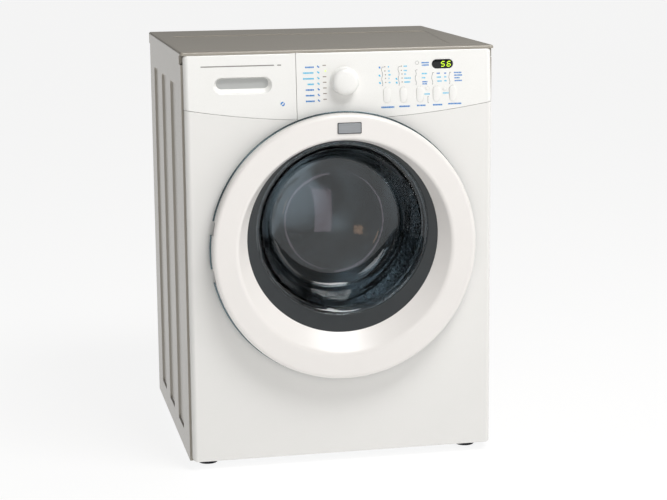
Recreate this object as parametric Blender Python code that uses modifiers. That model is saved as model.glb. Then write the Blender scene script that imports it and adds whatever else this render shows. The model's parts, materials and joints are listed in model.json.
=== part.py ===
"""Front load washing machine, built as separate pieces in metres: +X right, -Y front, +Z up.
The origin is on the floor under the middle of the machine's box."""

import math

import bmesh
import bpy
from mathutils import Matrix, Vector

# Overall sizes
WIDTH = 0.686
HEIGHT = 0.914
WORKTOP_DEPTH = 0.630
DOOR_PROUD = 0.045
FRONT_BULGE = 0.012
REAR_PROUD = 0.012
GAP = 0.0003
SHEET = 0.0012

# Depth stations, from the door's face at the front to the valve ports at the back
DOOR_FACE = -(DOOR_PROUD + FRONT_BULGE + WORKTOP_DEPTH + REAR_PROUD) / 2
FRONT_FACE = DOOR_FACE + DOOR_PROUD
WORKTOP_FRONT = FRONT_FACE + FRONT_BULGE
WORKTOP_REAR = WORKTOP_FRONT + WORKTOP_DEPTH
REAR_SKIN = WORKTOP_REAR - 0.004

# Cabinet
WORKTOP_THICK = 0.027
WORKTOP_LIP = 0.006
WORKTOP_OVERHANG = 0.002
WORKTOP_CORNER = 0.007
WORKTOP_SKIN = 0.0015
WORKTOP_RIM = 0.005
FIELD_FRONT_HALF = 0.262
FIELD_REAR_HALF = 0.308
FIELD_MARGIN = 0.060
FIELD_DEPTH = 0.462
FIELD_SINK = 0.0018
SIDE_X = WIDTH / 2 - WORKTOP_OVERHANG
BASE_Z = 0.018
BASE_HEIGHT = 0.032
BASE_WALL = 0.002
WORKTOP_UNDER = HEIGHT - WORKTOP_THICK
CONSOLE_TOP = HEIGHT - WORKTOP_LIP - 0.0006
FLANGE = 0.022
RIB_SINK = 0.003
RIB_SLOPE = 0.012
RIB_BOTTOM = 0.060
RIB_TOP = WORKTOP_UNDER - 0.049
RIB_SPANS = ((0.114, 0.212), (0.288, 0.380), (0.452, 0.540))
ACCESS_RADIUS = 0.185
ACCESS_DOME = 0.0055
VALVE_X = -0.225
VALVE_Z = HEIGHT - 0.094
PORT_RADIUS = 0.0125
GLAND_X = 0.240
GLAND_Z = HEIGHT - 0.114
GLAND_RADIUS = 0.0085
FOOT_INSET = 0.045

# Front skin: the panel under the seam, the console and the drawer face over it
SKIN = 0.0025
FRONT_HALF = SIDE_X - 0.0045
FRONT_CORNER = 0.011
FRONT_BACK = FRONT_BULGE + 0.0115
SKIN_BACK = FRONT_FACE + FRONT_BACK
CONSOLE_LEAN = 0.0115
SEAM_LOW = HEIGHT - 0.151
SEAM_CURVE = 0.2637
SEAM_GAP = 0.0012
FRONT_BOTTOM = 0.020
DRAWER_EDGE_X = -0.0965
PANEL_GAP = 0.0010

# Door
DOOR_Z = 0.490
DOOR_RADIUS = 0.290
DISH_RADIUS = 0.236
DISH_DEPTH = 0.0335
OPENING_Z = 0.509
OPENING_RADIUS = 0.2105
GLASS_Z = 0.526
GLASS_RADIUS = 0.1905
GLASS_THICK = 0.005
GLASS_DEPTH = 0.108
DOOR_GAP = 0.004
ROUND_SIDES = 40
DOOR_BACK = FRONT_FACE - DOOR_GAP
DISH_END = DOOR_FACE + DISH_DEPTH
RING_WALL = 0.003
TRIM_DEPTH = 0.012
TRIM_PROUD = 0.0022
TRIM_INNER = DOOR_RADIUS - 0.010
HINGE_INSET = 0.018
HINGE_X = HINGE_INSET - DOOR_RADIUS
HINGE_Y = DOOR_FACE + 0.019
HINGE_OFFSETS = (-0.052, 0.052)
HINGE_LUG = 0.026
HINGE_LUG_HALF = 0.003
HINGE_EYE = 0.005
HINGE_LEAN = math.radians(25)
HINGE_CLEAR = 0.001
SOCKET_HEIGHT = 0.009
SOCKET_WALL = 0.0018
PIN_RADIUS = 0.0022
LATCH_INSET = 0.042
LATCH_X = DOOR_RADIUS - LATCH_INSET
LATCH_REACH = 0.030
LATCH_CLEAR = 0.004
LATCH_SLOT = (0.013, 0.016)

# Tub, drum and drive
DRUM_Z = 0.500
DRUM_RADIUS = 0.275
DRUM_FRONT = FRONT_FACE + 0.070
DRUM_LENGTH = 0.400
DRUM_REAR = DRUM_FRONT + DRUM_LENGTH
DRUM_MOUTH = 0.200
DRUM_SHEET = 0.0012
LIFTER_GAP = 0.0012
TUB_WALL = 0.005
DRUM_CLEAR = 0.023
TUB_RADIUS = DRUM_RADIUS + DRUM_CLEAR + TUB_WALL
TUB_FLANGE = 0.009
TUB_FRONT = FRONT_FACE + 0.056
TUB_SPLIT = TUB_FRONT + 0.150
TUB_REAR = DRUM_REAR + 0.050
TUB_MOUTH = 0.209
NECK = 0.010
GASKET_WALL = 0.003
FOLD_REACH = 0.013
WEIGHT_CLEAR = 0.031
SHAFT_RADIUS = 0.0125
BEARING_OUTER = 0.031
BEARING_WIDTH = 0.015
HUB_RADIUS = 0.042
HUB_INNER = TUB_REAR - 0.010
HUB_END = TUB_REAR + 0.038
PULLEY_RADIUS = 0.150
PULLEY_WIDTH = 0.016
PULLEY_Y = HUB_END + 0.014
MOTOR_X = 0.100
MOTOR_Z = 0.125
MOTOR_RADIUS = 0.058
MOTOR_LENGTH = 0.120
MOTOR_END = PULLEY_Y - 0.025
MOTOR_PULLEY_RADIUS = 0.0125
MOTOR_SHAFT = 0.005
BELT_THICK = 0.003
BELT_WIDTH = 0.012
BELT_CLEAR = 0.0008
LIFTER_COUNT = 3
LIFTER_HEIGHT = 0.055
LIFTER_HALF = 0.038
SUSPENSION_Y = FRONT_FACE + 0.3245
SPRING_X = 0.262
SPRING_RADIUS = 0.012
SPRING_WIRE = 0.0022
SPRING_TURNS = 7
SPRING_STEPS = 8
SPRING_LOW = DRUM_Z + 0.182
BRACE_Z = WORKTOP_UNDER - 0.039
BRACE_HEIGHT = 0.022
DAMPER_X = 0.205
DAMPER_TOP = 0.246
DAMPER_RADIUS = 0.016
DAMPER_BORE = 0.0075
DAMPER_ROD = 0.006
LUG_HALF = 0.015
SUMP_Y = FRONT_FACE + 0.245
HOSE_RADIUS = 0.017
PUMP_X = 0.215
PUMP_Y = FRONT_FACE + 0.097
PUMP_Z = 0.062
PUMP_INLET_X = 0.165
PUMP_RADIUS = 0.036

# Detergent drawer
TRAY_INSET = 0.026
TRAY_X = (TRAY_INSET - SIDE_X, -0.130)
TRAY_Z = (HEIGHT - 0.106, HEIGHT - 0.046)
TRAY_LENGTH = 0.235
TRAY_WALL = 0.002
HOUSING_WALL = 0.002
HOUSING_CLEAR = 0.002
PULL_X = -0.2115
PULL_Z = HEIGHT - 0.0725
PULL_SIZE = (0.123, 0.033)
PULL_DEPTH = 0.0125
TRAY_FRONT = FRONT_FACE + PULL_DEPTH + SKIN + GAP

# Controls
KNOB_X = 0.008
KNOB_Z = HEIGHT - 0.069
KNOB_RADIUS = 0.0315
KNOB_HEIGHT = 0.022
KNOB_STEM = 0.006
PILL_FIRST_X = 0.101
PILL_PITCH = 0.0367
PILL_Z = HEIGHT - 0.102
PILL_SIZE = (0.0150, 0.0340)
PILL_COUNT = 5
SMALL_BUTTONS = ((0.191, HEIGHT - 0.090), (0.2295, HEIGHT - 0.092))
SMALL_RADIUS = 0.0042
BUTTON_CLEAR = 0.0005
BUTTON_PROUD = 0.002
BUTTON_LENGTH = 0.012
DISPLAY_X = 0.226
DISPLAY_Z = HEIGHT - 0.038
BOARD_Z = (HEIGHT - 0.096, HEIGHT - 0.030)
BOARD_COVER_Z = (HEIGHT - 0.092, HEIGHT - 0.038)
DISPLAY_SIZE = (0.047, 0.0195)


FINISHES = {
    "white_enamel": ("#E9E8E4", 0.35, 0.0),
    "grey_enamel": ("#B9B7B1", 0.40, 0.0),
    "white_plastic": ("#EFEEEA", 0.30, 0.0),
    "chrome": ("#C9CED2", 0.12, 1.0),
    "dark_plastic": ("#3A3E3E", 0.45, 0.0),
    "grey_plastic": ("#8F9294", 0.50, 0.0),
    "clear_glass": ("#9FB0B5", 0.05, 0.0),
    "display_black": ("#0C0F10", 0.15, 0.0),
    "stainless": ("#B8BBBD", 0.28, 1.0),
    "cast_aluminium": ("#9A9DA0", 0.50, 1.0),
    "zinc_steel": ("#A8A9A6", 0.45, 1.0),
    "rubber_grey": ("#6E7072", 0.75, 0.0),
    "rubber_black": ("#1B1C1D", 0.70, 0.0),
    "tub_polymer": ("#C9CBC6", 0.55, 0.0),
    "concrete": ("#8C8A85", 0.90, 0.0),
    "board_green": ("#2E5B3C", 0.55, 0.0),
}


def linear(hex_colour):
    """Turns an sRGB hex colour into linear values."""
    channels = [int(hex_colour[i : i + 2], 16) / 255 for i in (1, 3, 5)]
    return [c / 12.92 if c <= 0.04045 else ((c + 0.055) / 1.055) ** 2.4 for c in channels]


def seam_z(x):
    """Height of the seam between the front panel and the console, which sags in the middle."""
    return SEAM_LOW + SEAM_CURVE * x * x


def face_at(x, z):
    """Depth of the leaning console face at a point."""
    return FRONT_FACE + CONSOLE_LEAN * (z - seam_z(x)) / (CONSOLE_TOP - seam_z(x))


for leftover in list(bpy.data.objects):
    bpy.data.objects.remove(leftover)
parts = bpy.data.collections.new("front_load_washer")
cutters = bpy.data.collections.new("cutters")
for group in (parts, cutters):
    bpy.context.scene.collection.children.link(group)


# Helpers

def add_part(name, data, finish, location=(0, 0, 0)):
    """Links a mesh or a curve as a named part with its own material."""
    obj = bpy.data.objects.new(name, data)
    obj.location = location
    colour, roughness, metallic = FINISHES[finish]
    material = bpy.data.materials.new(name + "_" + finish)
    material.use_nodes = True
    shader = material.node_tree.nodes["Principled BSDF"]
    shader.inputs["Base Color"].default_value = linear(colour) + [1]
    shader.inputs["Roughness"].default_value = roughness
    shader.inputs["Metallic"].default_value = metallic
    data.materials.append(material)
    parts.objects.link(obj)
    return obj


def add_guide(data):
    """Links a mesh or a curve as a hidden guide."""
    obj = bpy.data.objects.new("guide", data)
    obj.hide_render = True
    obj.display_type = "WIRE"
    cutters.objects.link(obj)
    return obj


def evaluated_mesh(obj):
    """The mesh that an object shows once its curve and modifiers are worked out."""
    bpy.context.view_layer.update()
    graph = bpy.context.evaluated_depsgraph_get()
    return bpy.data.meshes.new_from_object(obj.evaluated_get(graph), depsgraph=graph)


def combine(obj, mesh, operation):
    """Adds a Boolean modifier with a helper mesh that is given in world space."""
    modifier = obj.modifiers.new(operation.lower(), "BOOLEAN")
    modifier.operation = operation
    modifier.solver = "EXACT"
    modifier.object = add_guide(mesh)
    return obj


def cut(obj, mesh):
    return combine(obj, mesh, "DIFFERENCE")


def join(obj, mesh):
    return combine(obj, mesh, "UNION")


def hang_on(name, point, objects):
    """Parents moving pieces to an empty on their joint's axis, and leaves them in place."""
    pivot = bpy.data.objects.new(name, None)
    pivot.location = point
    parts.objects.link(pivot)
    for obj in objects:
        obj.parent = pivot
        obj.matrix_parent_inverse = Matrix.Translation(-Vector(point))


def mesh_from(bm):
    """Turns a bmesh into a mesh, shaded smooth where its faces meet gently."""
    mesh = bpy.data.meshes.new("shape")
    bm.to_mesh(mesh)
    bm.free()
    mesh.shade_smooth()
    mesh.set_sharp_from_angle(angle=math.radians(35))
    return mesh


def box_mesh(x, y, z):
    """A box between three (low, high) spans."""
    bm = bmesh.new()
    bmesh.ops.create_cube(bm, size=1)
    size = Vector((x[1] - x[0], y[1] - y[0], z[1] - z[0]))
    middle = Vector((x[0] + x[1], y[0] + y[1], z[0] + z[1])) / 2
    place = Matrix.Translation(middle) @ Matrix.Diagonal(size.to_4d())
    bmesh.ops.transform(bm, matrix=place, verts=bm.verts)
    return mesh_from(bm)


def rod_mesh(centre, radius, span, axis="Y", sides=24):
    """A cylinder along one axis, between two stations on it."""
    depth = span[1] - span[0]
    middle = (span[0] + span[1]) / 2
    turn, place = {
        "X": (Matrix.Rotation(math.pi / 2, 4, "Y"), (middle, *centre)),
        "Y": (Matrix.Rotation(math.pi / 2, 4, "X"), (centre[0], middle, centre[1])),
        "Z": (Matrix(), (*centre, middle)),
    }[axis]
    bm = bmesh.new()
    bmesh.ops.create_cone(bm, cap_ends=True, segments=sides, radius1=radius, radius2=radius, depth=depth)
    bmesh.ops.transform(bm, matrix=Matrix.Translation(place) @ turn, verts=bm.verts)
    return mesh_from(bm)


def arc_points(x, z, radius, start, end, steps):
    """Points along an arc between two angles in degrees, both ends included."""
    angles = [math.radians(start + (end - start) * i / steps) for i in range(steps + 1)]
    return [(x + radius * math.cos(a), z + radius * math.sin(a)) for a in angles]


def circle_points(x, z, radius, count=16):
    return arc_points(x, z, radius, 0, 360, count)[:-1]


def pill_points(x, z, width, height, corner=None, arc=5):
    """A rounded rectangle; without a corner radius its short ends are half circles."""
    corner = min(width, height) / 2 if corner is None else corner
    points = []
    for quarter, (sx, sz) in enumerate(((1, 1), (-1, 1), (-1, -1), (1, -1))):
        cx = x + sx * (width / 2 - corner)
        cz = z + sz * (height / 2 - corner)
        for point in arc_points(cx, cz, corner, 90 * quarter, 90 * quarter + 90, arc):
            if not points or math.dist(points[-1], point) > 1e-5:
                points.append(point)
    if math.dist(points[0], points[-1]) < 1e-5:
        points.pop()
    return points


def outline_mesh(points, span, plane="XZ"):
    """A flat outline in XZ or XY, filled and given thickness between two stations across it."""
    curve = bpy.data.curves.new("outline", "CURVE")
    curve.dimensions = "2D"
    curve.fill_mode = "BOTH"
    curve.extrude = (span[1] - span[0]) / 2
    spline = curve.splines.new("POLY")
    spline.points.add(len(points) - 1)
    for point, (a, b) in zip(spline.points, points):
        point.co = (a, b, 0, 1)
    spline.use_cyclic_u = True
    guide = add_guide(curve)
    bm = bmesh.new()
    bm.from_mesh(evaluated_mesh(guide))
    bpy.data.objects.remove(guide)
    bmesh.ops.remove_doubles(bm, verts=bm.verts, dist=1e-6)
    bmesh.ops.recalc_face_normals(bm, faces=bm.faces)
    middle = (span[0] + span[1]) / 2
    place = Matrix.Translation((0, 0, middle))
    if plane == "XZ":
        place = Matrix.Translation((0, middle, 0)) @ Matrix.Rotation(math.pi / 2, 4, "X")
    bmesh.ops.transform(bm, matrix=place, verts=bm.verts)
    return mesh_from(bm)


def turned(name, profile, finish, centre, axis="Y", steps=32):
    """A body turned about an axis through centre. The profile is (radius, station) pairs in order;
    one that starts and ends on the axis is a solid, any other is a ring."""
    on_axis = profile[0][0] == 0
    area = sum(a[0] * b[1] - b[0] * a[1] for a, b in zip(profile, profile[1:] + profile[:1]))
    ordered = profile[::-1] if area > 0 else profile
    bm = bmesh.new()
    verts = [bm.verts.new((radius, 0, station)) for radius, station in ordered]
    for a, b in zip(verts, verts[1:]):
        bm.edges.new((a, b))
    if not on_axis:
        bm.edges.new((verts[-1], verts[0]))
    mesh = bpy.data.meshes.new("profile")
    bm.to_mesh(mesh)
    bm.free()
    obj = add_part(name, mesh, finish)
    screw = obj.modifiers.new("turn", "SCREW")
    screw.steps = screw.render_steps = steps
    screw.use_merge_vertices = True
    screw.merge_threshold = 1e-5
    screw.use_smooth_shade = True
    if axis == "Y":
        obj.rotation_euler = (-math.pi / 2, 0, 0)
        obj.location = (centre[0], 0, centre[1])
    else:
        obj.location = (centre[0], centre[1], 0)
    return obj


def loft_mesh(rings, sides=ROUND_SIDES):
    """A closed ring-shaped body through circles (centre z, y, radius), listed round its section."""
    bm = bmesh.new()
    loops = []
    for z, y, radius in rings:
        place = Matrix.Translation((0, y, z)) @ Matrix.Rotation(math.pi / 2, 4, "X")
        loops.append(bmesh.ops.create_circle(bm, segments=sides, radius=radius, matrix=place)["verts"])
    for low, high in zip(loops, loops[1:] + loops[:1]):
        for i in range(sides):
            j = (i + 1) % sides
            bm.faces.new((low[i], low[j], high[j], high[i]))
    bmesh.ops.recalc_face_normals(bm, faces=bm.faces)
    return mesh_from(bm)


def panel_mesh(columns, rows, place, thickness):
    """A sheet over a grid of columns and rows, each point put by place(column, row), thickened inward."""
    bm = bmesh.new()
    across, up = len(columns) - 1, len(rows) - 1
    bmesh.ops.create_grid(bm, x_segments=across, y_segments=up, size=1)
    for vert in bm.verts:
        column = columns[round((vert.co.x + 1) / 2 * across)]
        row = rows[round((vert.co.y + 1) / 2 * up)]
        vert.co = place(column, row)
    bmesh.ops.remove_doubles(bm, verts=bm.verts, dist=1e-6)
    guide = add_guide(mesh_from(bm))
    solid = guide.modifiers.new("sheet", "SOLIDIFY")
    solid.thickness = thickness
    solid.offset = -1
    mesh = evaluated_mesh(guide)
    bpy.data.objects.remove(guide)
    return mesh


def edge_path(x_low, x_high, round_low, round_high):
    """Stations across a front skin: (x, set back from the face), with rounded or square ends."""
    def corner(x, sign, rounded):
        if not rounded:
            return [(x, FRONT_BACK), (x, 0.0015), (x + sign * 0.0015, 0.0)]
        bend = arc_points(FRONT_CORNER, FRONT_CORNER, FRONT_CORNER, 180, 270, 5)
        return [(x, FRONT_BACK)] + [(x + sign * across, back) for across, back in bend]
    low = corner(x_low, 1, round_low)
    high = corner(x_high, -1, round_high)
    middle = [(x_low + (x_high - x_low) * i / 8, 0.0) for i in range(1, 8)]
    return low + middle + high[::-1]


def front_skin(columns, bottom, top, lean, thickness):
    """A pan-shaped front skin between two heights, with its edges turned back all round."""
    rows = [(0, True), (0, False), (0.35, False), (0.7, False), (1, False), (1, True)]

    def place(column, row):
        x, setback = column
        share, turned_back = row
        z = bottom(x) + (top(x) - bottom(x)) * share
        y = SKIN_BACK if turned_back else min(FRONT_FACE + lean * share + setback, SKIN_BACK)
        return Vector((x, y, z))

    return panel_mesh(columns, rows, place, thickness)


# Cabinet

def make_base_frame():
    """Pressed steel pan that carries the feet, the dampers and the pump."""
    x = SIDE_X - SHEET - GAP
    y = (SKIN_BACK + SHEET + 0.002, REAR_SKIN - SHEET - 0.002)
    frame = add_part("base_frame", box_mesh((-x, x), y, (BASE_Z, BASE_Z + BASE_HEIGHT)), "zinc_steel")
    inside = (y[0] + BASE_WALL, y[1] - BASE_WALL)
    depth = (BASE_Z + BASE_WALL, BASE_Z + 2 * BASE_HEIGHT)
    cut(frame, box_mesh((BASE_WALL - x, x - BASE_WALL), inside, depth))


def make_feet():
    """Rubber levelling feet on short studs, under the four corners."""
    top = BASE_Z - GAP
    profile = [(0, 0), (0.021, 0), (0.022, 0.002), (0.020, 0.010), (0.013, 0.012), (0.013, top), (0, top)]
    for depth, y in (("front", SKIN_BACK + FOOT_INSET), ("rear", REAR_SKIN - FOOT_INSET)):
        for side, sign in (("left", -1), ("right", 1)):
            x = sign * (SIDE_X - FOOT_INSET)
            turned(f"foot_{depth}_{side}", profile, "rubber_black", (x, y), axis="Z", steps=16)


def make_side_panel(name, sign):
    """Side sheet with three tall pressed panels and folded front and rear flanges."""
    front, rear = SKIN_BACK + GAP, REAR_SKIN
    columns = [("flange", front, 0), ("face", front, 0)]
    for start, end in RIB_SPANS:
        low, high = WORKTOP_FRONT + start, WORKTOP_FRONT + end
        columns += [("face", low, 0), ("face", low + RIB_SLOPE, 1)]
        columns += [("face", high - RIB_SLOPE, 1), ("face", high, 0)]
    columns += [("face", rear, 0), ("flange", rear, 0)]
    rows = [(BASE_Z, 0), (RIB_BOTTOM, 0), (RIB_BOTTOM + RIB_SLOPE, 1), (RIB_TOP - RIB_SLOPE, 1), (RIB_TOP, 0)]
    rows.append((WORKTOP_UNDER - GAP, 0))

    def place(column, row):
        kind, y, pressed = column
        x = SIDE_X - (FLANGE if kind == "flange" else 0) - RIB_SINK * pressed * row[1]
        return Vector((x, y, row[0]))

    mesh = panel_mesh(columns, rows, place, SHEET)
    if sign < 0:
        mesh.transform(Matrix.Diagonal((-1, 1, 1, 1)))
        mesh.flip_normals()
    add_part(name, mesh, "grey_enamel")


def make_rear_panel():
    """Rear sheet with a belt access hole, a valve hole and a cord gland hole."""
    half = SIDE_X - SHEET - 0.010
    y = (REAR_SKIN - SHEET - GAP - SHEET, REAR_SKIN - SHEET - GAP)
    z = (BASE_Z + BASE_HEIGHT + 0.002, WORKTOP_UNDER - 0.004)
    panel = add_part("rear_panel", box_mesh((-half, half), y, z), "zinc_steel")
    deep = (y[0] - 0.02, y[1] + 0.02)
    cut(panel, rod_mesh((0, DRUM_Z), ACCESS_RADIUS - 0.014, deep, sides=40))
    cut(panel, box_mesh((VALVE_X - 0.036, VALVE_X + 0.036), deep, (VALVE_Z - 0.019, VALVE_Z + 0.019)))
    cut(panel, rod_mesh((GLAND_X, GLAND_Z), GLAND_RADIUS + 0.0005, deep))


def make_rear_access_cover():
    """Shallow round pressing over the pulley and belt."""
    y = REAR_SKIN - SHEET
    rim, dome = ACCESS_RADIUS, y + ACCESS_DOME
    profile = [(0, dome), (rim - 0.030, dome), (rim - 0.020, y + SHEET), (rim, y + SHEET), (rim, y),
               (rim - 0.021, y), (rim - 0.031, dome - SHEET), (0, dome - SHEET)]
    turned("rear_access_cover", profile, "zinc_steel", (0, DRUM_Z))


def make_front_panel():
    """Painted lower front with the round door opening and the latch slot."""
    columns = edge_path(-FRONT_HALF, FRONT_HALF, True, True)
    mesh = front_skin(columns, lambda x: FRONT_BOTTOM, lambda x: seam_z(x) - SEAM_GAP, 0.0, SHEET)
    panel = add_part("front_panel", mesh, "white_enamel")
    through = (FRONT_FACE - 0.02, FRONT_FACE + 0.01)
    cut(panel, rod_mesh((0, OPENING_Z), OPENING_RADIUS + 0.002, through, sides=ROUND_SIDES))
    cut(panel, around_latch(LATCH_SLOT, through))


def make_worktop():
    """Worktop with rounded corners, a pressed field on top and a step under its front lip."""
    y_middle = (WORKTOP_FRONT + WORKTOP_REAR) / 2
    points = pill_points(0, y_middle, WIDTH, WORKTOP_DEPTH, corner=WORKTOP_CORNER, arc=4)
    top = add_part("worktop", outline_mesh(points, (WORKTOP_UNDER, HEIGHT), plane="XY"), "grey_enamel")
    step_half = FRONT_HALF + 0.0006
    step_y = (WORKTOP_FRONT - 0.01, SKIN_BACK + 0.010)
    cut(top, box_mesh((-step_half, step_half), step_y, (WORKTOP_UNDER - 0.01, HEIGHT - WORKTOP_LIP)))
    inner_half = WIDTH / 2 - WORKTOP_RIM
    inner_y = (SKIN_BACK + 0.010 + WORKTOP_RIM, WORKTOP_REAR - WORKTOP_RIM)
    under = (WORKTOP_UNDER - 0.01, HEIGHT - FIELD_SINK - WORKTOP_SKIN)
    cut(top, box_mesh((-inner_half, inner_half), inner_y, under))
    y_front, y_rear = WORKTOP_FRONT + FIELD_MARGIN, WORKTOP_FRONT + FIELD_DEPTH
    field = [(-FIELD_FRONT_HALF, y_front), (FIELD_FRONT_HALF, y_front),
             (FIELD_REAR_HALF, y_rear), (-FIELD_REAR_HALF, y_rear)]
    cut(top, outline_mesh(field, (HEIGHT - FIELD_SINK, HEIGHT + 0.01), plane="XY"))


def make_top_brace():
    """Channel between the side panels that the suspension springs hang from."""
    half = SIDE_X - SHEET - RIB_SINK - GAP
    y = (SUSPENSION_Y - 0.020, SUSPENSION_Y + 0.020)
    brace = add_part("top_brace", box_mesh((-half, half), y, (BRACE_Z, BRACE_Z + BRACE_HEIGHT)), "zinc_steel")
    trough = (BRACE_Z + BASE_WALL, BRACE_Z + 2 * BRACE_HEIGHT)
    cut(brace, box_mesh((-2 * half, 2 * half), (y[0] + BASE_WALL, y[1] - BASE_WALL), trough))


def make_inlet_valve():
    """Twin water valve inside the rear panel, with two hose ports that stand out behind."""
    y = REAR_SKIN - 0.045
    body = box_mesh((VALVE_X - 0.032, VALVE_X + 0.032), (y, y + 0.030), (VALVE_Z - 0.016, VALVE_Z + 0.016))
    valve = add_part("inlet_valve", body, "tub_polymer")
    for offset in (-0.018, 0.018):
        port = (VALVE_X + offset, VALVE_Z)
        join(valve, rod_mesh(port, PORT_RADIUS, (y + 0.025, WORKTOP_REAR + REAR_PROUD), sides=20))
        cut(valve, rod_mesh(port, PORT_RADIUS - 0.004, (y + 0.035, WORKTOP_REAR + 0.02), sides=20))


def make_cord_gland():
    """Cable gland for the mains lead, clamped through the rear panel, with its bore open."""
    face = REAR_SKIN - SHEET
    inner = face - GAP - SHEET - GAP
    bore, waist, collar = GLAND_RADIUS - 0.004, GLAND_RADIUS, GLAND_RADIUS + 0.0055
    profile = [(bore, face + 0.010), (collar - 0.003, face + 0.010), (collar, face + 0.004), (collar, face),
               (waist, face), (waist, inner), (collar, inner), (collar, inner - 0.006), (bore, inner - 0.006)]
    turned("cord_gland", profile, "rubber_black", (GLAND_X, GLAND_Z), steps=16)


# Detergent drawer

def make_drawer():
    """Drawer face, flush with the console, with a pill shaped finger pull, and the tray behind it."""
    columns = edge_path(-FRONT_HALF, DRAWER_EDGE_X - PANEL_GAP / 2, True, False)
    mesh = front_skin(columns, lambda x: seam_z(x) + SEAM_GAP / 2, lambda x: CONSOLE_TOP, CONSOLE_LEAN, SKIN)
    face = add_part("drawer_front", mesh, "white_plastic")
    width, height = PULL_SIZE
    pocket = FRONT_FACE + PULL_DEPTH
    around = pill_points(PULL_X, PULL_Z, width + 2 * SKIN, height + 2 * SKIN)
    join(face, outline_mesh(around, (FRONT_FACE + CONSOLE_LEAN * 0.75, pocket + SKIN)))
    cut(face, outline_mesh(pill_points(PULL_X, PULL_Z, width, height), (FRONT_FACE - 0.01, pocket)))

    tray_y = (TRAY_FRONT, TRAY_FRONT + TRAY_LENGTH)
    tray = add_part("drawer_tray", box_mesh(TRAY_X, tray_y, TRAY_Z), "grey_plastic")
    room = (TRAY_X[1] - TRAY_X[0] - 4 * TRAY_WALL) / 3
    for i in range(3):
        x = TRAY_X[0] + TRAY_WALL + i * (room + TRAY_WALL)
        cut(tray, box_mesh((x, x + room), (tray_y[0] + TRAY_WALL, tray_y[1] - TRAY_WALL),
                           (TRAY_Z[0] + TRAY_WALL, TRAY_Z[1] + 0.01)))


def make_dispenser_housing():
    """Open fronted box that the drawer tray slides in."""
    grow = HOUSING_CLEAR + HOUSING_WALL
    y = (SKIN_BACK + SHEET + 0.001, TRAY_FRONT + TRAY_LENGTH + grow)
    x = (TRAY_X[0] - grow, TRAY_X[1] + grow)
    z = (TRAY_Z[0] - grow, TRAY_Z[1] + grow)
    housing = add_part("dispenser_housing", box_mesh(x, y, z), "grey_plastic")
    wall = HOUSING_WALL
    cut(housing, box_mesh((x[0] + wall, x[1] - wall), (y[0] - 0.01, y[1] - wall), (z[0] + wall, z[1] - wall)))


# Controls

def make_console_panel():
    """Control console right of the drawer, open for its display, knob and buttons."""
    columns = edge_path(DRAWER_EDGE_X + PANEL_GAP / 2, FRONT_HALF, False, True)
    mesh = front_skin(columns, lambda x: seam_z(x) + SEAM_GAP / 2, lambda x: CONSOLE_TOP, CONSOLE_LEAN, SKIN)
    console = add_part("console_panel", mesh, "white_plastic")
    width, height = (size + 2 * BUTTON_CLEAR for size in PILL_SIZE)
    openings = [pill_points(PILL_FIRST_X + i * PILL_PITCH, PILL_Z, width, height) for i in range(PILL_COUNT)]
    openings += [circle_points(x, z, SMALL_RADIUS + BUTTON_CLEAR) for x, z in SMALL_BUTTONS]
    openings.append(circle_points(KNOB_X, KNOB_Z, KNOB_STEM + BUTTON_CLEAR))
    openings.append(pill_points(DISPLAY_X, DISPLAY_Z, DISPLAY_SIZE[0] + 2 * GAP, DISPLAY_SIZE[1] + 2 * GAP))
    for outline in openings:
        cut(console, outline_mesh(outline, (FRONT_FACE - 0.01, SKIN_BACK - 0.004)))


def make_buttons():
    """Pill buttons in a row and two small round ones, each free to travel in its hole."""
    for i in range(PILL_COUNT):
        x = PILL_FIRST_X + i * PILL_PITCH
        y = face_at(x, PILL_Z) - BUTTON_PROUD
        mesh = outline_mesh(pill_points(0, 0, *PILL_SIZE), (0, BUTTON_LENGTH))
        add_part(f"option_button_{i + 1}", mesh, "white_plastic", (x, y, PILL_Z))
    for i, (x, z) in enumerate(SMALL_BUTTONS):
        y = face_at(x, z) - BUTTON_PROUD / 2
        mesh = outline_mesh(circle_points(0, 0, SMALL_RADIUS), (0, BUTTON_LENGTH))
        add_part(f"round_button_{i + 1}", mesh, "white_plastic", (x, y, z))


def make_knob():
    """Domed programme knob on a short stem."""
    base = face_at(KNOB_X, KNOB_Z + KNOB_RADIUS) - CONSOLE_LEAN * 0.5
    tip, end = base - KNOB_HEIGHT, base + 0.020
    profile = [(0, tip), (0.55 * KNOB_RADIUS, tip + 0.0008), (0.85 * KNOB_RADIUS, tip + 0.0040),
               (0.96 * KNOB_RADIUS, tip + 0.0085), (KNOB_RADIUS, base - 0.002), (KNOB_RADIUS, base),
               (KNOB_STEM, base), (KNOB_STEM, end), (0, end)]
    turned("program_knob", profile, "white_plastic", (KNOB_X, KNOB_Z))


def make_control_board():
    """Circuit board behind the console, with its cover box."""
    y = SKIN_BACK + 0.0065
    part = add_part("control_board", box_mesh((-0.070, 0.280), (y, y + 0.003), BOARD_Z), "board_green")
    join(part, box_mesh((-0.060, 0.110), (y + 0.001, y + 0.016), BOARD_COVER_Z))


def make_display():
    """Pill shaped dark display window let into the console."""
    y = face_at(DISPLAY_X, DISPLAY_Z)
    mesh = outline_mesh(pill_points(DISPLAY_X, DISPLAY_Z, *DISPLAY_SIZE), (y - 0.0010, y + 0.006))
    add_part("display_window", mesh, "display_black")


# Door

def hinge_slot(offset, x_high):
    """Room for a hinge lug as the door swings past it."""
    z = DOOR_Z + offset
    half = HINGE_LUG / 2 + HINGE_CLEAR
    return box_mesh((HINGE_X - 0.030, x_high), (DOOR_FACE + 0.0095, FRONT_FACE), (z - half, z + half))


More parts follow.
